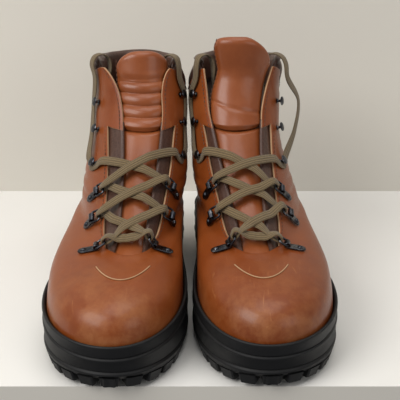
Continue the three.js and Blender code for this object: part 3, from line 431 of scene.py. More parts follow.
def makeLeather(name, tones, rough, grain=900, scuffs=0.0, toeWear=0.0, coat=0.25):
    m = Finish(name, **{"Coat Weight": coat, "Coat Roughness": 0.2, "IOR": 1.45, "Specular IOR Level": 0.35})
    at = m.where()
    cloud = m.noise(at, 9, 5, 0.6)
    fine = m.noise(at, 60, 6, 0.65)
    spread = m.ramp(cloud, (0.3, 0.0), (0.7, 1.0))
    colour = m.mix(spread, tones[0], tones[1])
    colour = m.mix(m.ramp(fine, (0.42, 0.0), (0.66, 1.0)) * 0.35, colour, tones[2])
    pores = m.node("ShaderNodeTexVoronoi", {"feature": "DISTANCE_TO_EDGE"}, {"Vector": at, "Scale": grain})
    cell = m.ramp(pores, (0.0, 0.0), (0.12, 1.0))
    roughness = m.ramp(fine, (0.3, rough - 0.07), (0.7, rough + 0.09))
    if scuffs:
        streak = m.noise(m.where((260, 24, 90), (0.3, 0.2, 0.7)), 1, 3, 0.5, 0.8)
        marks = m.ramp(streak, (0.66, 0.0), (0.7, 1.0)) * m.ramp(m.noise(at, 14, 2), (0.45, 0.0), (0.62, 1.0))
        colour = m.mix(marks * scuffs, colour, tones[3])
        if toeWear:
            split = m.node("ShaderNodeSeparateXYZ", {}, {"Vector": m.where()}, "Y")
            front = m.ramp((split + 0.15) * 8, (0.0, 1.0), (0.62, 0.0))
            worn = m.ramp(m.noise(at, 34, 6, 0.7), (0.44, 0.0), (0.62, 1.0)) * front
            colour = m.mix(worn * toeWear, colour, tones[3])
            roughness = roughness + worn * 0.12
    m.set("Base Color", colour)
    m.set("Roughness", roughness)
    m.bump((cell, 0.16, 0.25), (m.noise(at, 260, 4), 0.18, 0.3), (m.noise(at, 30, 3), 0.2, 1.6))
    return m.material


def makeRubber():
    m = Finish("blackRubber", **{"Specular IOR Level": 0.3})
    at = m.where()
    dust = m.noise(at, 30, 5, 0.65)
    grime = m.noise(m.where((1, 1, 4)), 12, 4)
    dusty = m.ramp(dust, (0.45, 0.0), (0.75, 1.0)) * 0.55
    m.set("Base Color", m.mix(dusty, (0.007, 0.007, 0.0075), (0.021, 0.020, 0.019)))
    m.set("Roughness", m.ramp(grime, (0.3, 0.46), (0.7, 0.68)))
    m.bump((m.noise(at, 700, 3), 0.22, 0.25), (m.noise(at, 90, 4), 0.12, 0.5))
    return m.material


def makeRawEdge():
    m = Finish("rawEdge", **{"Roughness": 0.75})
    at = m.where()
    m.set("Base Color", m.mix(m.noise(at, 220, 4), (0.36, 0.20, 0.10), (0.50, 0.31, 0.17)))
    m.bump((m.noise(at, 900, 3), 0.4, 0.3))
    return m.material


def makeLining():
    m = Finish("lining", **{"Sheen Weight": 0.25})
    at = m.where()
    weave = m.node("ShaderNodeTexVoronoi", {"feature": "F1"}, {"Vector": at, "Scale": 700})
    m.set("Base Color", m.mix(m.noise(at, 40, 4), (0.055, 0.032, 0.022), (0.10, 0.06, 0.042)))
    m.set("Roughness", m.ramp(m.noise(at, 90, 3), (0.3, 0.78), (0.7, 0.92)))
    m.bump((weave, 0.3, 0.4))
    return m.material


def makeDarkLeather():
    m = Finish("darkLeather", **{"Coat Weight": 0.12, "Coat Roughness": 0.3, "Specular IOR Level": 0.4})
    at = m.where()
    pebble = m.node("ShaderNodeTexVoronoi", {"feature": "SMOOTH_F1"},
                    {"Vector": at, "Scale": 520, "Smoothness": 0.6})
    cloud = m.noise(at, 22, 5, 0.6)
    colour = m.mix(cloud, (0.030, 0.011, 0.006), (0.066, 0.027, 0.017))
    colour = m.mix(m.ramp(pebble, (0.2, 0.0), (0.55, 1.0)) * 0.4, colour, (0.10, 0.048, 0.032))
    m.set("Base Color", colour)
    m.set("Roughness", m.ramp(m.noise(at, 120, 4), (0.3, 0.34), (0.7, 0.52)))
    m.bump((pebble, 0.35, 0.5), (m.noise(at, 45, 4), 0.2, 1.2))
    return m.material


def makeMetal():
    m = Finish("gunmetal", Metallic=1.0)
    at = m.where()
    wear = m.ramp(m.noise(at, 170, 5, 0.65), (0.52, 0.0), (0.68, 1.0))
    m.set("Base Color", m.mix(wear * 0.6, (0.045, 0.047, 0.055), (0.22, 0.22, 0.23)))
    m.set("Roughness", m.ramp(m.noise(at, 300, 3), (0.3, 0.22), (0.7, 0.42)))
    m.bump((m.noise(at, 500, 3), 0.08, 0.15))
    return m.material


def makeLace():
    m = Finish("laceCord", **{"Sheen Weight": 0.2, "Sheen Roughness": 0.5})
    at = m.along()
    split = m.node("ShaderNodeSeparateXYZ", {}, {"Vector": at}, "Y")
    run = m.node("ShaderNodeSeparateXYZ", {}, {"Vector": at}, "X")
    ribs = m.node("ShaderNodeMath", {"operation": "SINE"}, {0: split * (6.2832 * 5)})
    picks = m.node("ShaderNodeMath", {"operation": "SINE"}, {0: (run * 6283) + (ribs * 1.4)})
    strands = m.noise(m.along((900, 9, 1)), 1, 3)
    # painted shade: the low grooves between the lace's ribs are darkened towards near black
    dark = m.ramp(ribs, (0.0, 1.0), (0.45, 0.0))
    colour = m.mix(strands, (0.135, 0.086, 0.030), (0.215, 0.145, 0.062))
    colour = m.mix(dark * 0.7, colour, (0.045, 0.028, 0.010))
    # painted highlight: the raised crests of the weave's picks are lightened
    colour = m.mix(m.ramp(picks, (0.3, 0.0), (1.0, 1.0)) * 0.22, colour, (0.36, 0.27, 0.15))
    m.set("Base Color", colour)
    m.set("Roughness", m.ramp(strands, (0.3, 0.72), (0.7, 0.9)))
    m.bump((ribs, 0.5, 0.35), (picks, 0.4, 0.22))
    return m.material


def makePlain(name, tones, rough, scale=60, **shader):
    m = Finish(name, **shader)
    at = m.where()
    m.set("Base Color", m.mix(m.noise(at, scale, 4), tones[0], tones[1]))
    m.set("Roughness", m.ramp(m.noise(at, scale * 2, 3), (0.3, rough - 0.06), (0.7, rough + 0.06)))
    m.bump((m.noise(at, scale * 6, 3), 0.2, 0.3))
    return m.material


tanTones = [(0.235, 0.053, 0.009), (0.16, 0.033, 0.006), (0.28, 0.074, 0.015), (0.42, 0.175, 0.062)]
tongueTones = [(0.27, 0.070, 0.018), (0.20, 0.050, 0.013), (0.32, 0.095, 0.028)]
tanLeather = makeLeather("tanLeather", tanTones, 0.36, 1100, 0.35, 0.4, 0.22)
tongueLeather = makeLeather("tongueLeather", tongueTones, 0.34, 1000, coat=0.3)
darkLeather = makeDarkLeather()
rawEdge = makeRawEdge()
lining = makeLining()
blackRubber = makeRubber()
gunmetal = makeMetal()
laceCord = makeLace()
thread = makePlain("thread", [(0.075, 0.026, 0.012), (0.12, 0.045, 0.02)], 0.7, 400)
fibreBoard = makePlain("fibreBoard", [(0.42, 0.32, 0.2), (0.5, 0.4, 0.27)], 0.8)
footbedCloth = makePlain("footbedCloth", [(0.028, 0.027, 0.028), (0.045, 0.043, 0.045)], 0.85, 180)
springSteel = makePlain("springSteel", [(0.45, 0.45, 0.46), (0.55, 0.55, 0.55)], 0.35, 120, Metallic=1.0)
laceTip = makePlain("laceTip", [(0.12, 0.09, 0.05), (0.16, 0.12, 0.07)], 0.3, 200, **{"Coat Weight": 0.5})
print("materials made")

# Stitches and lugs, repeated along lines.


def makeRepeat():
    tree = bpy.data.node_groups.new("repeatAlong", "GeometryNodeTree")
    for label, kind in (("Geometry", "Geometry"), ("Item", "Object"), ("Spacing", "Float"),
                        ("Material", "Material"), ("Unevenness", "Float"), ("Seed", "Int")):
        tree.interface.new_socket(label, in_out="INPUT", socket_type="NodeSocket" + kind)
    tree.interface.new_socket("Geometry", in_out="OUTPUT", socket_type="NodeSocketGeometry")

    def add(kind, **settings):
        made = tree.nodes.new(kind)
        for key, value in settings.items():
            setattr(made, key, value)
        return made

    given, result = add("NodeGroupInput"), add("NodeGroupOutput")
    line = add("GeometryNodeMeshToCurve")
    spaced = add("GeometryNodeResampleCurve", mode="LENGTH")
    tangent = add("GeometryNodeInputTangent")
    aim = add("FunctionNodeAlignRotationToVector", axis="X", pivot_axis="AUTO")
    item = add("GeometryNodeObjectInfo")
    size = add("FunctionNodeRandomValue", data_type="FLOAT")
    least, most = add("ShaderNodeMath", operation="SUBTRACT"), add("ShaderNodeMath", operation="ADD")
    placed = add("GeometryNodeInstanceOnPoints")
    real = add("GeometryNodeRealizeInstances")
    painted = add("GeometryNodeSetMaterial")
    least.inputs[0].default_value = most.inputs[0].default_value = 1
    join = tree.links.new
    join(given.outputs["Geometry"], line.inputs["Mesh"])
    join(line.outputs["Curve"], spaced.inputs["Curve"])
    join(given.outputs["Spacing"], spaced.inputs["Length"])
    join(tangent.outputs[0], aim.inputs["Vector"])
    join(given.outputs["Item"], item.inputs["Object"])
    join(given.outputs["Unevenness"], least.inputs[1])
    join(given.outputs["Unevenness"], most.inputs[1])
    join(least.outputs[0], size.inputs[2])
    join(most.outputs[0], size.inputs[3])
    join(given.outputs["Seed"], size.inputs["Seed"])
    join(spaced.outputs["Curve"], placed.inputs["Points"])
    join(item.outputs["Geometry"], placed.inputs["Instance"])
    join(aim.outputs["Rotation"], placed.inputs["Rotation"])
    join(size.outputs[1], placed.inputs["Scale"])
    join(placed.outputs["Instances"], real.inputs["Geometry"])
    join(real.outputs["Geometry"], painted.inputs["Geometry"])
    join(given.outputs["Material"], painted.inputs["Material"])
    join(painted.outputs["Geometry"], result.inputs["Geometry"])
    inputs = [socket for socket in tree.interface.items_tree if socket.in_out == "INPUT"]
    return tree, {socket.name: socket.identifier for socket in inputs}


repeatTree, repeatInputs = makeRepeat()


# One item for repeating, from rings of points in its own millimetres.
def makeItem(name, rings):
    points, faces = tube(np.asarray(rings, float))
    mesh = bpy.data.meshes.new(name)
    mesh.from_pydata((points / 1000).tolist(), [], faces)
    mesh.polygons.foreach_set("use_smooth", np.full(len(mesh.polygons), True))
    mesh.set_sharp_from_angle(angle=math.radians(40))
    item = bpy.data.objects.new(name, mesh)
    scene.collection.objects.link(item)
    return item


stitch = {"length": 2.7, "radius": 0.36, "spacing": 3.6, "unevenness": 0.06}


def stitchRings():
    length, radius = stitch["length"], stitch["radius"]
    angles = np.linspace(0, 2 * np.pi, 8, endpoint=False)
    rings = []
    for x, r in ((-1, 0.15), (-0.85, 0.75), (-0.4, 1), (0.4, 1), (0.85, 0.75), (1, 0.15)):
        across, up = r * radius * np.cos(angles), r * radius * np.sin(angles)
        rings.append(np.stack([np.full(8, x * length / 2), across, up], 1))
    return rings


# A lug stands with its ground face at z = 0 and its outer face towards -y.
def lugRings(length, depth, height, taper):
    rings = []
    for z, inset in ((0, 0.8), (0.7, 0), (height, 0)):
        out = -depth / 2 + taper * (1 - z / height) + inset
        x, y = length / 2 - inset - taper * 0.3 * (1 - z / height), depth / 2 - inset
        cut = 1.0
        outline = ((-x + cut, out), (x - cut, out), (x, out + cut), (x, y - cut),
                   (x - cut, y), (-x + cut, y), (-x, y - cut), (-x, out + cut))
        rings.append([(px, py, z) for px, py in outline])
    return rings


repeatItems = {"stitch": makeItem("stitch", stitchRings()),
               "edgeLug": makeItem("edgeLug", lugRings(12.5, 13, 8.7, 2.0)),
               "innerLug": makeItem("innerLug", lugRings(9, 9, 5.5, 0.8))}


# Lines are lists of points in one boot's own millimetres.
def repeatAlong(name, boot, lines, item, apart, material, body="_boot", unevenness=0.0, seed=3):
    points, edges = [], []
    for line in lines:
        edges += [(len(points) + k, len(points) + k + 1) for k in range(len(line) - 1)]
        points += toPair(boot, line).tolist()
    guide = bpy.data.objects.new(name + "_guide", bpy.data.meshes.new(name + "_guide"))
    guide.data.from_pydata(points, edges, [])
    scene.collection.objects.link(guide)
    modifier = guide.modifiers.new("repeat", "NODES")
    modifier.node_group = repeatTree
    for label, value in (("Item", repeatItems[item]), ("Spacing", apart / 1000), ("Material", material),
                         ("Unevenness", unevenness), ("Seed", seed)):
        modifier[repeatInputs[label]] = value
    ready = guide.evaluated_get(bpy.context.evaluated_depsgraph_get())
    mesh = bpy.data.meshes.new_from_object(ready)
    bpy.data.objects.remove(guide)
    piece = bpy.data.objects.new(name, mesh)
    scene.collection.objects.link(piece)
    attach(piece, boot["name"] + body)
    return piece


# Rows of stitches in the leather.
def stitchAlong(name, boot, lines, body="_boot"):
    repeatAlong(name, boot, lines, "stitch", stitch["spacing"], thread, body,
                stitch["unevenness"])


# A thin round line through points in one boot's own millimetres.
def wire(line, radius, around=8):
    ahead = unit(np.gradient(line, axis=0))
    across = unit(np.cross(ahead, [0, 0.3, 1.0]))
    angles = np.linspace(0, 2 * np.pi, around, endpoint=False)[None, :, None]
    up = np.cross(across, ahead)
    return tube(line[:, None] + radius * (np.cos(angles) * across[:, None] + np.sin(angles) * up[:, None]))


# The upper.

leather = {"thickness": 2, "columns": (6, 6, 62), "rows": 96}


def sigmaColumns(boot, side, t, counts):
    last = boot["last"]
    narrow = last.sigmaAt(side, boot["gap"](t), t)
    wide = last.sigmaAt(side, wideGap(t), t)
    a = np.linspace(0, 1, counts[0], endpoint=False)[None] * narrow[:, None]
    b = narrow[:, None] + np.linspace(0, 1, counts[1], endpoint=False)[None] * (wide - narrow)[:, None]
    c = wide[:, None] + np.linspace(0, 1, counts[2] + 1)[None] * (1 - wide)[:, None]
    return np.concatenate([a, b, c], 1)


# Where the tan leather ends at the top, by how far back along the side a point is.
leatherTop = keyed([(0, 1), (0.22, 1.0), (0.32, 0.975), (0.42, 0.9), (0.5, 0.872), (1, 0.865)])


# How far the padded rim draws in towards the heel, and how far the inner side swells between the boots.
def softShape(s, t):
    rim = -5.0 * smooth(t, 0.78, 1.0) * smooth(np.abs(s), 0.33, 0.6)
    alongSide = smooth(s, 0.3, 0.42) * (1 - smooth(s, 0.6, 0.8))
    swell = 3.0 * alongSide * smooth(t, 0.35, 0.5) * (1 - smooth(t, 0.85, 0.98))
    return rim + swell


def upperLeather(name, boot):
    last = boot["last"]
    counts = leather["columns"]
    rows = np.unique(np.concatenate([np.linspace(0.004, 1, leather["rows"]), [throatT - 0.012, stripEndT]]))
    outside = sigmaColumns(boot, -1, rows, counts)
    inside = sigmaColumns(boot, 1, rows, counts)
    s = np.concatenate([inside, -outside[:, -2:0:-1]], 1)
    t = np.repeat(rows[:, None], s.shape[1], 1)
    squeeze = leatherTop(np.abs(s))
    high = smooth(t, 0.62, 1)
    t = t + (squeeze - 1) * high * (t - 0.62) / 0.38
    width = s.shape[1]
    edge = counts[0] + counts[1]
    i = np.arange(width)
    i = np.minimum(i, width - 1 - i)
    opening = rows[:-1, None] >= throatT - 0.0125
    closedAbove = rows[:-1, None] >= stripEndT - 1e-6
    column = np.minimum(np.arange(width), width - 1 - np.arange(width))[None]
    keep = ~(opening & ~closedAbove & (column < edge)) & ~(closedAbove & (column < counts[0]))
    wobble = 0.35 * np.sin(s * 9 + t * 31) * smooth(t, 0.45, 0.7) + creases(s, t) + softShape(s, t)
    outer = last.on(s, t, wobble)
    inner = last.on(s, t, wobble - leather["thickness"])
    points, faces, kinds, _ = shell(outer, inner, keep, True)
    piece = addPiece(name + "_upper_leather", boot, points, faces, [tanLeather, lining, rawEdge],
                     name + "_boot", [name + "_upper"], kinds)
    bevel(piece, 0.35)
    # seams: beside the gap, beside the strips, under the collar and down the back
    gap = boot["gap"]
    lines = []
    for side in (-1, 1):
        t = np.linspace(stripEndT + 0.01, 0.985, 70)
        lines.append(last.over(side * (gap(t) + 2.4), t, 0.12 + 0 * t))
        t = np.linspace(0.36, stripEndT - 0.005, 90)
        lines.append(last.over(side * (wideGap(t) + 2.0), t, 0.12 + 0 * t))
        s = side * np.linspace(0.36, 0.995, 150)
        top = leatherTop(np.abs(s)) - 0.018
        lines.append(last.on(s, top, 0.12 + softShape(s, top)))
        t = np.linspace(0.06, 0.84, 120)
        for width in (0.93, 0.915):
            s = side * np.full(t.shape, width)
            lines.append(last.on(s, t, 0.15 + softShape(s, t)))
    stitchAlong(name + "_upper_stitches", boot, lines)
    q = np.linspace(-20, 20, 60)
    line = last.over(q, 0.268 + 0.00003 * q**2, 0.15 + 0 * q)
    points, faces = wire(line, 0.5)
    addPiece(name + "_throat_seam", boot, points, faces, [rawEdge], name + "_boot")


# The flex creases across the vamp and round the ankle.
def creases(s, t):
    across = np.clip(1 - np.abs(s) / 0.5, 0, 1)
    vamp = sum(depth * np.exp(-((t - middle - 0.05 * np.abs(s)) / 0.006) ** 2)
               for middle, depth in ((0.262, 0.5), (0.285, 0.7), (0.308, 0.5)))
    side = np.exp(-((np.abs(s) - 0.42) / 0.12) ** 2)
    ankleFolds = sum(depth * np.exp(-((t - middle + 0.16 * (np.abs(s) - 0.4)) / 0.012) ** 2)
                     for middle, depth in ((0.44, 1.1), (0.5, 0.8), (0.6, 0.9)))
    return -vamp * across * 0.8 - ankleFolds * side


# The sole.

sole = {"around": 220, "overhang": 3.2, "floorInset": -26, "lugEdge": 7.1}
outsoleTop = keyed([(-152, 19), (-66, 13), (10, 14.5), (60, 19), (152, 20.5)])
outsoleBottom = keyed([(-152, 7), (-140, 4), (-118, 1.2), (-95, 0), (0, 0), (14, 4), (42, 4), (54, 0),
                       (134, 0), (152, 4)])
soleTopZ = lambda y: 30 + (y + 147.5) * 7 / 293.5


# Points round the sole's outline, pushed out by offset, at z(y).
def soleRing(last, offset, z):
    count = sole["around"]
    k = np.arange(count)
    s = np.where(k <= count // 2, k / (count // 2), k / (count // 2) - 2)
    outward = last.normal(s, 0.03)
    outward[:, 2] = 0
    p = last.point(s, 0.03) + unit(outward) * offset
    p[:, 2] = z(p[:, 1])
    return p


def soleBand(name, part, boot, profile, node):
    rings = np.stack([soleRing(boot["last"], offset, z) for offset, z in profile], 1)
    points, faces = tube(rings, True)
    addPiece(name + "_" + part, boot, points, [f[::-1] for f in faces], [blackRubber], name + "_boot",
             [name + node])


def makeSole(name, boot):
    over = sole["overhang"]
    seat = lambda rise: (lambda y: soleTopZ(y) + rise)
    middle = lambda f: (lambda y: outsoleTop(y) + 0.3 + (soleTopZ(y) - outsoleTop(y) - 0.6) * f)
    profile = [(-12, middle(0.0)), (over - 0.4, middle(0.0)), (over, middle(0.05)), (over, middle(0.76)),
               (over + 0.5, middle(0.8)), (over + 0.6, middle(0.86)), (over + 0.45, middle(0.92)),
               (over, middle(0.95)), (over - 0.4, middle(1.0)), (-12, middle(1.0))]
    soleBand(name, "midsole_band", boot, profile, "_midsole")
    # the rand, with a lip along its top edge
    profile = [(0.4, seat(0.1)), (over - 0.3, seat(0.1)), (over, seat(0.7)), (over, seat(7.2)),
               (over + 0.25, seat(7.8)), (over + 0.2, seat(8.7)), (over - 0.4, seat(9.3)),
               (over - 1.4, seat(9.3)), (over - 2.2, seat(8.6)), (0.4, seat(7))]
    soleBand(name, "rand_band", boot, profile, "_rand")
    # the wall, floor and lugs of the outsole
    shape = lambda rise: (lambda y: outsoleBottom(y) + rise)
    top = lambda drop: (lambda y: outsoleTop(y) - drop)
    profile = [(-30, shape(4.6)), (-9, shape(4.6)), (-6.5, shape(4.4)), (-4.2, shape(4.6)), (0.2, shape(6.2)),
               (over - 1.4, shape(8.0)), (over - 0.2, shape(9.2)), (over, top(3.4)), (over + 0.5, top(2.9)),
               (over + 0.6, top(2.2)), (over + 0.45, top(1.5)), (over, top(1.1)), (over - 0.5, top(0)),
               (-30, top(0))]
    soleBand(name, "outsole_wall", boot, profile, "_outsole")
    floorPoints = soleRing(boot["last"], sole["floorInset"], shape(4.7))
    both = np.concatenate([floorPoints, floorPoints + [0, 0, 5]])
    count = sole["around"]
    faces = []
    for k in range(count // 2):
        a, b, c, d = k, k + 1, (count - k - 1) % count, (count - k) % count
        for base, flip in ((0, True), (count, False)):
            ids = [base + v for v in dict.fromkeys((a, b, c, d))]
            faces.append(tuple(ids[::-1] if flip else ids))
    faces += [(k, (k + 1) % count, (k + 1) % count + count, k + count) for k in range(count)]
    addPiece(name + "_outsole_floor", boot, both, faces, [blackRubber], name + "_boot")
    makeLugs(name, boot, shape)


def makeLugs(name, boot, shape):
    for part, item, offset, apart in (("edge_lugs", "edgeLug", sole["overhang"] - sole["lugEdge"], 15.4),
                                      ("middle_lugs", "innerLug", -15.5, 14),
                                      ("centre_lugs", "innerLug", -27, 15)):
        ringLine = soleRing(boot["last"], offset, shape(0.02))
        ringLine = np.concatenate([ringLine, ringLine[:1]])
        # anticlockwise from above, so that the outer faces look outwards
        x, y = toPair(boot, ringLine)[:, 0], toPair(boot, ringLine)[:, 1]
        if (x[:-1] * y[1:] - x[1:] * y[:-1]).sum() < 0:
            ringLine = ringLine[::-1]
        lugs = repeatAlong(f"{name}_{part}", boot, [ringLine], item, apart, blackRubber)
        for corner in lugs.data.vertices:
            corner.co.z = max(corner.co.z, 0)  # a lug that leans with the sole still ends at the ground


# The tongue and the dark strips.

tongue = {"thickness": 4.2, "below": 4.6, "half": 26, "from": 0.325, "split": 0.762}
tongueWidth = keyed([(0.3, 0.72), (0.36, 0.8), (0.6, 1), (1, 1), (1.08, 1), (1.16, 0.84)])


# How much lower the tongue's top edge is across its width, as a t. X is positive on the big-toe side.
tongueEdge = {"right": lambda X: 0.055 * np.abs(X) ** 3,
              "left": lambda X: 0.13 * np.clip((0.1 - X) / 1.1, 0, 1) ** 2 + 0.012 * np.clip(X, 0, 1) ** 6}
tongueShift = {"right": 5.5, "left": -4.5}


def tongueSlab(name, part, boot, span, rows, depth, thickness, height, body, nodes, edge=lambda X: 0 * X):
    last = boot["last"]
    tFrom, tTo = span
    f = np.linspace(0, 1, rows)
    around = 64
    phi = np.linspace(0, 2 * np.pi, around, endpoint=False)
    x = np.sign(np.cos(phi)) * np.abs(np.cos(phi)) ** 0.75
    lift = np.sin(phi)
    lift = np.sign(lift) * np.abs(lift) ** 0.6
    X = np.repeat(x[None], rows, 0)
    T = tFrom + (tTo - edge(X) - tFrom) * f[:, None]
    ends = thickness(f)[:, None]
    q = tongue["half"] * tongueWidth(T) * X * np.minimum(1, 0.93 + 0.07 * ends)
    q = q + tongueShift[name] * smooth(T, 0.82, 1.02)
    pull = boot["tonguePull"] * smooth(T, 0.95, boot["tongueTop"])
    crown = height(X, T)
    offset = pull - depth(T) - tongue["thickness"] / 2 + lift[None] * tongue["thickness"] / 2 * ends
    offset = offset + np.where(lift[None] > 0, crown * np.minimum(1, np.abs(lift[None]) * 1.2), 0) * ends
    points, faces = tube(last.over(q, T, offset))
    return addPiece(name + "_" + part, boot, points, faces, [tongueLeather], name + body, nodes)


def makeTongue(name, boot):
    flat = lambda f: np.clip(np.minimum(f, 1 - f) * 26 + 0.35, 0.35, 1)
    tongueSlab(name, "tongue_gusset", boot, (tongue["from"], tongue["split"] - 0.003), 70,
               lambda T: 2.6 + 2 * smooth(T, 0.335, 0.4), flat,
               lambda X, T: 0.8 * (1 - X**2) * smooth(T, 0.36, 0.45), "_boot", [name + "_tongue"])
    top = boot["tongueTop"]

    def ribs(X, T):
        inside = np.clip((1 - np.abs(X)) * 6, 0, 1)
        wave = np.abs(np.sin(np.pi * (T - tongue["split"]) / 0.047)) ** 0.55
        fade = 1 - smooth(T, 0.94, 0.965)
        plain = smooth(T, 0.945, 0.99) * 1.8
        if name == "left":
            return 2.2 * inside**0.5 + 1.2 * (1 - X**2) - 0.7 * np.exp(-((T - 0.84 - 0.03 * X) / 0.008) ** 2)
        return (wave * 2.2 * fade + plain) * inside ** 0.5 + 0.8 * (1 - X**2)

    def rounded(f):
        end = np.clip((f - 0.9) / 0.1, 0, 1) * 0.985
        return np.sqrt(np.clip(1 - end**2, 0.02, 1)) * np.clip(f * 20 + 0.4, 0, 1)

    piece = tongueSlab(name, "tongue_pad", boot, (tongue["split"], top), 130,
                       lambda T: tongue["below"] + 0 * T, rounded, ribs,
                       "_tongue_top", [name + "_tongue_top"], tongueEdge[name])
    # the row of stitches beside the tongue's edge
    last = boot["last"]
    lines = []
    for X in ((0.9,) if name == "left" else (-0.9, 0.9)):
        t = np.linspace(tongue["split"] + 0.01, top - tongueEdge[name](np.array(X)) - 0.012, 90)
        q = tongue["half"] * tongueWidth(t) * X + tongueShift[name] * smooth(t, 0.82, 1.02)
        pull = boot["tonguePull"] * smooth(t, 0.95, top)
        lines.append(last.over(q, t, pull - tongue["below"] + 1.7 + (1.5 if name == "left" else 1.1)))
    stitchAlong(name + "_tongue_stitches", boot, lines, "_tongue_top")


def makeStrips(name, boot):
    last = boot["last"]
    rows = np.linspace(0.315, 0.785, 110)
    for side, word in ((-1, "outer"), (1, "inner")):
        narrow = boot["gap"](rows)
        wide = wideGap(rows)
        section = []
        for q, offset in ((wide + 4, -2.35), (wide + 1, -2.35), (wide - 0.5, -2.2), (wide - 2, -1.5),
                          (narrow + 5, -1.0), (narrow + 3.2, -0.9), (narrow + 1.8, -0.35),
                          (narrow + 0.7, -0.35), (narrow - 0.2, -0.8), (narrow - 0.7, -1.6),
                          (narrow - 0.5, -2.5), (narrow + 0.3, -3.2), (narrow + 1.4, -3.5),
                          (narrow + 4, -3.6), (wide + 4, -3.6)):
            section.append(last.over(side * q, rows, np.full(rows.shape, float(offset))))
        points, faces = tube(np.stack(section, 1))
        if side < 0:
            faces = [f[::-1] for f in faces]
        nodes = [name + "_facing_strips"] if side < 0 else []
        addPiece(f"{name}_{word}_strip", boot, points, faces, [darkLeather], name + "_boot", nodes)


# The collar and the lining.

collar = {"from": 0.3, "around": 44}


def makeCollar(name, boot):
    last = boot["last"]
    half = np.linspace(collar["from"], 1, 70)
    s = np.concatenate([half, -half[-2::-1]])
    ends = np.clip(np.minimum(np.arange(len(s)), len(s) - 1 - np.arange(len(s))) / 9, 0, 1)
    ends = np.sqrt(1 - (1 - ends) ** 2) * 0.96 + 0.04
    low = leatherTop(np.abs(s)) - 0.012
    rim = 1.02 - 0.045 * smooth(np.abs(s), 0.32, 0.8)
    section = []
    for u in np.linspace(0, 1, collar["around"], endpoint=False):
        # outside up to the roll, over it, and down the inside
        if u < 0.45:
            f = u / 0.45
            t = low + (rim - low) * f
            offset = -1.6 + 3.0 * np.sin(np.pi * min(1, f * 1.15 + 0.05)) ** 0.7 + 0 * s
        elif u < 0.6:
            f = (u - 0.45) / 0.15
            t = rim + 0.018 * math.sin(math.pi * f)
            offset = -0.4 - 7.4 * f + 0 * s
        else:
            f = (u - 0.6) / 0.4
            t = rim - (rim - 0.815) * f
            offset = -7.8 - 1.2 * math.sin(math.pi * min(1, f * 1.05)) + 4.4 * max(0, f - 0.82) / 0.18 + 0 * s
        # the roll thins towards its two ends, about its own middle
        middle = -3.6
        t = 0.94 + (t - 0.94) * (0.55 + 0.45 * ends)
        section.append(last.on(s, t, middle + (offset - middle) * ends + softShape(s, t)))
    points, faces = tube(np.stack(section, 1))
    piece = addPiece(name + "_collar_roll", boot, points, [f[::-1] for f in faces], [darkLeather],
                     name + "_boot", [name + "_collar_pad"])
    # the lining below it
    half = np.linspace(0.3, 1, 60)
    s = np.concatenate([half, -half[-2::-1]])[None]
    t = np.linspace(0.06, 0.84, 40)[:, None]
    s, t = np.broadcast_arrays(s, t)
    points, faces, kinds, _ = shell(last.on(s, t, -4.0 + 0 * s), last.on(s, t, -4.8 + 0 * s))
    addPiece(name + "_lining", boot, points, faces, [lining], name + "_boot")


# Hardware.

# The lacing rows' places as (half width, t, turn), without the outer half widths, which the boots have.
rowSpots = [
    {-1: (0.297, 8), 1: (27, 0.297, 4)}, {-1: (0.375, 14), 1: (30, 0.387, 14)},
    {-1: (0.48, 14), 1: (31, 0.495, 14)}, {-1: (0.59, 0), 1: (34, 0.615, 0)},
    {-1: (0.715, 0), 1: (34, 0.745, 0)}, {-1: (0.83, 0), 1: (34, 0.865, 0)}]
ringRows, hookRows = range(3), range(3, 6)
ring = {"wire": 1.8, "halfWidth": 5.8, "reach": 8, "corner": 1.9, "rest": 3.4}
knuckle = {"outer": 2.4, "halfLength": 3.3, "x": 6}
leaf = {"thickness": 1.2, "lift": 0.4, "from": 6, "to": -9, "width": 7.4, "rivet": -4.5}
clipHeight = leaf["lift"] + knuckle["outer"]


def turned(v, axis, angle):
    return (v * math.cos(angle) + np.cross(axis, v) * math.sin(angle)
            + axis * np.dot(axis, v) * (1 - math.cos(angle)))


def spotAt(boot, side, row):
    return (boot["outerRows"][row],) + rowSpots[row][side] if side < 0 else rowSpots[row][side]


def surfaceFrame(boot, side, spot):
    last, (q, t, turn) = boot["last"], spot
    s = last.sAt(side * q, t)
    z = last.normal(s, t)
    up = last.over(side * q, t + 0.01) - last.over(side * q, t - 0.01)
    up = unit(up - z * np.dot(up, z))
    x = turned(np.cross(z, up) * side, z, -side * math.radians(turn))
    return {"origin": last.point(s, t), "x": x, "y": np.cross(z, x), "z": z, "up": up}


def place(axes, x, along, z):
    return axes["origin"] + axes["x"] * x + axes["up"] * along + axes["z"] * z


def surfaceHeights(boot, side, spot, axes, places):
    last = boot["last"]
    targets = axes["origin"] + np.array([axes["x"] * x + axes["y"] * y for x, y in places])
    q, t = np.full(len(places), float(spot[0])), np.full(len(places), float(spot[1]))
    for _ in range(6):
        here = last.over(side * q, t)
        alongQ = last.over(side * (q + 1), t) - here
        alongT = (last.over(side * q, t + 0.01) - here) / 0.01
        miss = targets - here
        a = [v @ axes["x"] for v in (alongQ, alongT, miss)]
        b = [v @ axes["y"] for v in (alongQ, alongT, miss)]
        determinant = a[0] * b[1] - a[1] * b[0]
        q = q + (a[2] * b[1] - a[1] * b[2]) / determinant
        t = t + (a[0] * b[2] - a[2] * b[0]) / determinant
    return (last.over(side * q, t) - axes["origin"]) @ axes["z"]


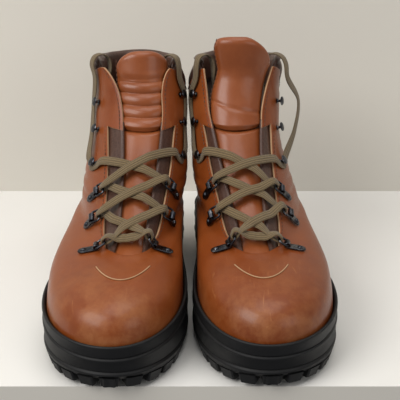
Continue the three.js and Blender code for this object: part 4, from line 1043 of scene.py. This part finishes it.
def clipFrame(boot, side, spot):
    axes = surfaceFrame(boot, side, spot)
    under = [(-9, 0), (-9, 1.5), (-9, -1.5), (-6, 3.7), (-6, -3.7), (0, 3.7), (0, -3.7), (6, 3.3), (6, -3.3)]
    axes["origin"] = axes["origin"] + axes["z"] * max(0, surfaceHeights(boot, side, spot, axes, under).max())
    ahead = [(knuckle["x"] + ring["reach"], k * ring["halfWidth"]) for k in (-1, 0, 1)]
    far = surfaceHeights(boot, side, spot, axes, ahead).max()
    axes["tilt"] = math.asin((clipHeight - far - ring["rest"]) / ring["reach"])
    return axes


def inFrame(axes, points, height=0.0):
    p = np.asarray(points, float)
    flat = axes["origin"] + p[..., :1] * axes["x"] + p[..., 1:2] * axes["y"]
    return flat + (p[..., 2:] + height) * axes["z"]


def latheFaces(rings, around=20):
    angles = np.linspace(0, 2 * np.pi, around, endpoint=False)
    return np.stack([np.stack([r * np.cos(angles), r * np.sin(angles), np.full(around, z)], 1)
                     for r, z in rings])


def joined(parts):
    points, faces, count = [], [], 0
    for p, f in parts:
        points.append(np.asarray(p).reshape(-1, 3))
        faces += [tuple(v + count for v in face) for face in f]
        count += len(points[-1])
    return np.concatenate(points), faces


# A closed plate from an outline, with a rounded rim and a domed top.
def plate(outline, thickness, rim=0.35):
    outline = np.asarray(outline, float)
    centre = outline.mean(0)
    rings = []
    toCentre = unit(centre - outline)
    for inset, z in ((rim, 0), (0, rim), (0, thickness - rim), (rim * 0.4, thickness - rim * 0.3),
                     (rim, thickness)):
        ringPoints = outline + toCentre * inset
        rings.append(np.concatenate([ringPoints, np.full((len(outline), 1), z)], 1))
    return tube(np.stack(rings))


def leafOutline():
    half, wide = knuckle["halfLength"], leaf["width"] / 2
    root, end = leaf["from"], leaf["to"]
    curve = [(root, -half), (root, half)]
    pieces = [((root, half), (1, wide), (-2, wide)), ((-2, wide), (end, wide), (end, 0)),
              ((end, 0), (end, -wide), (-2, -wide)), ((-2, -wide), (1, -wide), (root, -half))]
    for a, b, c in pieces:
        a, b, c = np.array(a), np.array(b), np.array(c)
        for f in np.linspace(0, 1, 9)[1:-1 if c[0] == root else None]:
            curve.append(tuple((1 - f) ** 2 * a + 2 * f * (1 - f) * b + f**2 * c))
    return curve[1:] + curve[:1]


def ringSections():
    r, reach, corner = ring["wire"] / 2, ring["reach"], ring["corner"]
    half = ring["halfWidth"] - r
    path = []
    for cx, cy, start in ((reach - corner, half - corner, 0), (corner, half - corner, 90),
                          (corner, -half + corner, 180), (reach - corner, -half + corner, 270)):
        for a in np.radians(np.linspace(start, start + 90, 8)):
            path.append((cx + corner * math.cos(a), cy + corner * math.sin(a), 0))
    path = np.array(path)
    ahead = unit(np.roll(path, -1, 0) - np.roll(path, 1, 0))
    out = np.cross(ahead, [0, 0, 1])
    angles = np.linspace(0, 2 * np.pi, 12, endpoint=False)
    return path[:, None] + r * (np.cos(angles)[None, :, None] * out[:, None]
                                + np.sin(angles)[None, :, None] * np.array([0, 0, 1.0]))


def makeHardware(name, boot):
    for side, word in ((-1, "outer"), (1, "inner")):
        for i in ringRows:
            axes = clipFrame(boot, side, spotAt(boot, side, i))
            boot["clips", side, i] = axes
            bottom = leaf["lift"] - clipHeight
            platePoints, plateFaces = plate(leafOutline(), leaf["thickness"])
            roll = latheFaces([(1.62, -3.3), (2.1, -3.3), (2.4, -3.0), (2.4, 3.0), (2.1, 3.3), (1.62, 3.3)],
                              24)
            rollPoints = np.stack([roll[..., 0] + knuckle["x"], roll[..., 2], roll[..., 1]], -1)
            domed = latheFaces([(0.02, 1.15), (0.9, 1.08), (1.6, 0.75), (2.05, 0.25), (2.15, 0),
                                (2.15, -0.3)], 18)
            domePoints = domed[::-1] + [leaf["rivet"], 0, bottom + leaf["thickness"] + 0.2]
            rollSkin, rollFaces = tube(rollPoints)
            rollFaces = [f for f in rollFaces if len(f) == 4]
            inner = 5 * 24  # the first point of the roll's last ring
            rollFaces += [(k, (k + 1) % 24, inner + (k + 1) % 24, inner + k)[::-1] for k in range(24)]
            points, faces = joined([(platePoints + [0, 0, bottom], plateFaces),
                                    (rollSkin, [f[::-1] for f in rollFaces]), tube(domePoints)])
            addPiece(f"{name}_{word}_leaf_{i + 1}", boot, inFrame(axes, points, clipHeight), faces,
                     [gunmetal], name + "_boot", [f"{name}_{word}_clip_{i + 1}"], sharp=40)
            points, faces = tube(ringSections(), True)
            along, across, up = points.T
            cos, sin = math.cos(axes["tilt"]), math.sin(axes["tilt"])
            swung = np.stack([along * cos + up * sin + knuckle["x"], across, -along * sin + up * cos], 1)
            node = f"{name}_{word}_ring_{i + 1}"
            addPiece(f"{name}_{word}_dring_{i + 1}", boot, inFrame(axes, swung, clipHeight), faces,
                     [gunmetal], node, [node])
        parts = []
        for i in hookRows:
            axes = surfaceFrame(boot, side, spotAt(boot, side, i))
            stem = latheFaces([(1.5, -3), (1.5, 0), (2.6, 0.02), (2.7, 0.35), (1.7, 0.8), (1.35, 1.4),
                               (1.35, 3.0), (1.8, 3.7), (3.2, 4.05), (4.2, 4.3), (4.5, 4.75), (4.1, 5.25),
                               (2.6, 5.65), (0.05, 5.8)], 24)
            stem = stem * [1, 0.86, 1]
            stem[..., 0] += 0.8 * np.clip(stem[..., 2] / 4, 0, 1)
            points, faces = tube(stem)
            parts.append((inFrame(axes, points), faces))
        points, faces = joined(parts)
        addPiece(f"{name}_{word}_speed_hooks", boot, points, faces, [gunmetal], name + "_boot",
                 [f"{name}_{word}_hooks"], sharp=40)


# Laces.

lace = {"width": 7.4, "thickness": 1.4, "turn": 2.3, "bunched": 0.62, "under": 1.6, "over": 3.7, "step": 1.3}

# The lace's seven strands, each from one side's row to the other's, and whether it lies on top.
crossings = [("a3", "b2", False), ("b2", "a1", True), ("a1", "b0", False), ("b0", "a0", False),
             ("a0", "b1", True), ("b1", "a2", False), ("a2", "b3", True)]
arrivesLow = {"b2": True, "a1": False, "b0": True, "a0": False, "b1": False, "a2": True}


def keySide(boot, key):
    return boot["overFrom"] if key[0] == "a" else -boot["overFrom"]


def ringBar(boot, key):
    axes = boot["clips", keySide(boot, key), int(key[1])]
    along, over = turned(axes["x"], axes["y"], axes["tilt"]), turned(axes["z"], axes["y"], axes["tilt"])
    return axes, along, over, place(axes, knuckle["x"], 0, clipHeight) + along * ring["reach"]


def ringTurn(boot, key):
    axes, along, over, bar = ringBar(boot, key)
    r = lace["turn"]
    d = r * math.sqrt(0.5)
    wide = axes["y"] * np.sign(np.dot(axes["y"], axes["up"]))
    away = axes["x"] if axes["tilt"] > 0 else along
    stops = [(bar + (away if a > 0 else along) * a + over * b, wide, 0.8 if a > 0 else lace["bunched"])
             for a, b in ((4.5, -r), (0, -r), (-d, -d), (-r, 0), (-d, d), (0, r), (4.5, r))]
    return stops if arrivesLow[key] else stops[::-1]


def hookTurn(boot, key):
    side = keySide(boot, key)
    axes = surfaceFrame(boot, side, spotAt(boot, side, hookRows[0]))
    path = [(11, -2.2, 1.8, 0, 1), (5, -3.7, 1.4, 0, 0.85), (0, -4.4, 1.3, 0.1, 0.65),
            (-3.6, -3.2, 1.2, 0.5, 0.6), (-4.9, 0, 1.1, 1, 0.65), (-5.2, 4, 1.1, 1, 0.8)]
    return [(place(axes, x, along, z), axes["up"] * (1 - twist) + axes["x"] * twist, bunch)
            for x, along, z, twist, bunch in path]


# The strand over the ridge between two turns. Seen square to the boot it runs straight from one to the other.
def strand(boot, start, end, over):
    last = boot["last"]
    pins, rows = [], []
    for key in (start, end):
        side, row = keySide(boot, key), int(key[1])
        spot = spotAt(boot, side, row)
        rows.append(spot[1])
        pins.append(ringBar(boot, key)[3] if row in ringRows
                    else place(surfaceFrame(boot, side, spot), 11, -2.2, 0))
    middle = sum(rows) / 2
    upwards = unit(last.over(0, middle + 0.05) - last.over(0, middle))
    stops = []
    for f in (0.33, 0.42, 0.5, 0.58, 0.67):
        height = lace["over"] if over else lace["under"] + 1.2 * abs(f - 0.5) / 0.17
        target = pins[0] * (1 - f) + pins[1] * f
        at = lambda t: last.over(target[0] - last.over(0, t)[0], t, height)
        low, high = min(rows) - 0.06, max(rows) + 0.12
        for _ in range(18):
            middle = (low + high) / 2
            below = np.dot(at(middle) - target, upwards) < 0
            low, high = (middle, high) if below else (low, middle)
        stops.append((at(low), unit(at(low + 0.01) - at(low - 0.01)), 1))
    return stops


# Flat section points for each station of a line, with the width direction kept square to it.
def flatSections(line, wide, bunch):
    ahead = unit(np.gradient(line, axis=0))
    wide = unit(wide - ahead * (wide * ahead).sum(1, keepdims=True))
    thick = np.cross(ahead, wide)
    angles = np.linspace(0, 2 * np.pi, 16, endpoint=False)
    a = np.sign(np.cos(angles)) * np.abs(np.cos(angles)) ** 0.7 * lace["width"] / 2
    b = np.sign(np.sin(angles)) * np.abs(np.sin(angles)) ** 0.55 * lace["thickness"] / 2
    bulge = 1 + 0.35 * (1 - bunch)
    return (line[:, None] + wide[:, None] * (a[None] * bunch[:, None])[..., None]
            + thick[:, None] * (b[None] * bulge[:, None])[..., None])


def laceUv(stations, around, length):
    x = np.repeat(np.linspace(0, length / 1000, stations)[:, None], around, 1)
    k = np.arange(around)
    across = 0.5 + 0.5 * np.cos(2 * np.pi * k / around)
    return np.stack([x, np.repeat(across[None], stations, 0)], -1).reshape(-1, 2)


def flatLace(name, boot, stops, body, nodes):
    at, wide, bunch = (np.array([s[i] for s in stops]) for i in range(3))
    dense, length = threaded(at, lace["step"], (wide, bunch))
    sections = flatSections(dense[:, :3], dense[:, 3:6], dense[:, 6])
    points, faces = tube(sections)
    piece = addPiece(name, boot, points, [f[::-1] for f in faces], [laceCord], body, nodes,
                     uv=laceUv(len(dense), 16, length))
    return piece, dense, length


# From the collar down inside the boot and along the footbed.
routeInside = [
    (-23, 64, 168), (-23, 60, 150), (-24, 55, 132), (-26, 49, 113), (-28, 45, 92), (-29, 38, 70),
    (-29, 26, 54), (-28, 8, 46), (-29, -14, 44.2), (-30, -38, 43.6), (-30, -62, 43), (-27, -84, 42.4),
    (-18, -96, 42.2), (-9, -90, 42.3), (-8, -70, 42.8), (-9, -48, 43.4)]
tip = {"length": 16, "radius": 1.9}


# The free end's half turn over the collar: its middle's offset, height above the edge and climb per t.
collarTurn = {"middle": -5, "radius": 8.6, "above": 1, "rise": 180}


def freeStops(boot, side):
    last = boot["last"]
    bow = boot["laceBow"] if side < 0 else 0
    start = surfaceFrame(boot, side, spotAt(boot, side, hookRows[0]))
    stops = [(place(start, -5.6, 4.3, 1.7), start["x"], 0.85), (place(start, -7, 9, 2.6), start["x"], 1)]
    for i, outwards, upwards in ((hookRows[1], 0.7, 0.6), (hookRows[2], 1, 0.8)):
        axes = surfaceFrame(boot, side, spotAt(boot, side, i))
        stops.append((place(axes, -7 - bow * outwards, 0, 2.2 + bow * upwards), axes["x"], 1))
    q = side * (36 if side < 0 else 33)
    flatX = unit(last.over(q * 0.9, 0.95) - last.over(q, 0.95))
    stops.append((last.over(q, 0.94, 2.8 + bow * 0.5), flatX, 1))
    for angle in range(0, 181, 45):
        across = math.cos(math.radians(angle))
        height = collarTurn["above"] + collarTurn["radius"] * math.sin(math.radians(angle))
        offset = collarTurn["middle"] + (collarTurn["radius"] + bow * max(0, across) * 0.2) * across
        stops.append((last.over(q, 1 + height / collarTurn["rise"], offset), flatX, 1))
    for x, y, z in routeInside:
        point = np.array([-side * x + boot["lean"] * smooth(z, 100, 180), y, z])
        wide = np.array([0, 1.0, 0]) if z > 60 else np.array([-side, 0.0, 0])
        stops.append((point, wide, 1))
    return stops


def steady(stops):
    previous = None
    fixed = []
    for at, wide, bunch in stops:
        if previous is not None and np.dot(previous, wide) < 0:
            wide = -wide
        previous = wide
        fixed.append((at, wide, bunch))
    return fixed


def makeLaces(name, boot):
    stops = hookTurn(boot, crossings[0][0])[::-1]
    for i, (start, end, over) in enumerate(crossings):
        stops += strand(boot, start, end, over)
        stops += hookTurn(boot, end) if i == len(crossings) - 1 else ringTurn(boot, end)
    piece, _, length = flatLace(name + "_lacing", boot, steady(stops), name + "_boot", [name + "_lace"])
    print(name, "lacing", int(length), "mm")
    for side, word in ((-1, "outer"), (1, "inner")):
        piece, dense, length = flatLace(f"{name}_{word}_free_lace", boot, steady(freeStops(boot, side)),
                                        name + "_boot", [f"{name}_{word}_lace_end"])
        ending = dense[-14:, :3]
        ahead = unit(ending[-1] - ending[-3])
        side1 = unit(np.cross(ahead, [0, 0, 1.0]))
        side2 = np.cross(ahead, side1)
        angles = np.linspace(0, 2 * np.pi, 14, endpoint=False)
        rings = []
        for f, r in ((-0.8, 0.2), (-0.8, 1.75), (-0.72, tip["radius"]), (0.06, tip["radius"]), (0.12, 1.6),
                     (0.13, 0.2)):
            centre = ending[-1] + ahead * f * tip["length"]
            circle = np.cos(angles)[:, None] * side1 + 0.8 * np.sin(angles)[:, None] * side2
            rings.append(centre + r * circle)
        points, faces = tube(np.stack(rings))
        aglet = addPiece(f"{name}_{word}_lace_tip", boot, points, [f[::-1] for f in faces], [laceTip],
                         name + "_boot")
        line = toPair(boot, dense[:, :3])
        print(name, word, "free lace", int(length), "mm")


# Build everything.

for name, boot in boots.items():
    makeHardware(name, boot)
    makeLaces(name, boot)
    upperLeather(name, boot)
    makeSole(name, boot)
    makeTongue(name, boot)
    makeStrips(name, boot)
    makeCollar(name, boot)
    for part, material in (("shank", springSteel), ("insole_board", fibreBoard), ("footbed", footbedCloth),
                           ("toe_puff", fibreBoard), ("heel_counter", fibreBoard)):
        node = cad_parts[f"{name}_{part}"]
        node.data.materials.clear()
        node.data.materials.append(material)
    print(name, "boot built")

for item in repeatItems.values():
    bpy.data.objects.remove(item)

# The room.


def stagePlane(name, corners, material):
    mesh = bpy.data.meshes.new(name)
    mesh.from_pydata(corners, [], [(0, 1, 2, 3)])
    mesh.materials.append(material)
    plane = bpy.data.objects.new(name, mesh)
    scene.collection.objects.link(plane)


shelfPaint = Finish("shelfPaint", **{"Base Color": (*room["shelfTone"], 1), "Roughness": 0.5}).material
wallPaintAndEdgeShade = Finish("wallPaintAndEdgeShade", **{"Base Color": (*room["wallTone"], 1), "Roughness": 0.9}).material
back, front = room["backWall"], room["shelfFront"]
stagePlane("shelf", [(-3, front, 0), (3, front, 0), (3, back, 0), (-3, back, 0)], shelfPaint)
# the shelf's front face takes the darker wall paint instead of the shelf paint, as painted shade on that face
stagePlane("shelfEdge", [(-3, front, -0.6), (3, front, -0.6), (3, front, 0), (-3, front, 0)], wallPaintAndEdgeShade)
stagePlane("wall", [(-3, back, 0), (3, back, 0), (3, back, 3), (-3, back, 3)], wallPaintAndEdgeShade)


lights = {
    "window": {"place": (-1.1, -0.9, 1.25), "size": (1.1, 1.1), "power": 24, "tone": (1, 0.985, 0.96)},
    "ceiling": {"place": (0.2, -0.1, 1.9), "size": (1.6, 1.2), "power": 17, "tone": (1, 0.99, 0.97)},
    "fill": {"place": (1.3, -1.2, 0.8), "size": (1.0, 1.0), "power": 5, "tone": (1, 0.98, 0.95)}}
lightAim = Vector((0, 0, 0.1))


def addLight(name, light):
    data = bpy.data.lights.new(name, "AREA")
    data.shape = "RECTANGLE"
    data.size, data.size_y = light["size"]
    data.energy = light["power"]
    data.color = light["tone"]
    lamp = bpy.data.objects.new(name, data)
    lamp.location = light["place"]
    lamp.rotation_euler = (lightAim - Vector(light["place"])).to_track_quat("-Z", "Y").to_euler()
    scene.collection.objects.link(lamp)


for name, light in lights.items():
    addLight(name, light)
world = bpy.data.worlds.new("world")
scene.world = world
world.use_nodes = True
world.node_tree.nodes["Background"].inputs["Color"].default_value = (0.95, 0.96, 1, 1)
world.node_tree.nodes["Background"].inputs["Strength"].default_value = 0.28
scene.view_settings.view_transform = "Standard"
print("room lit")
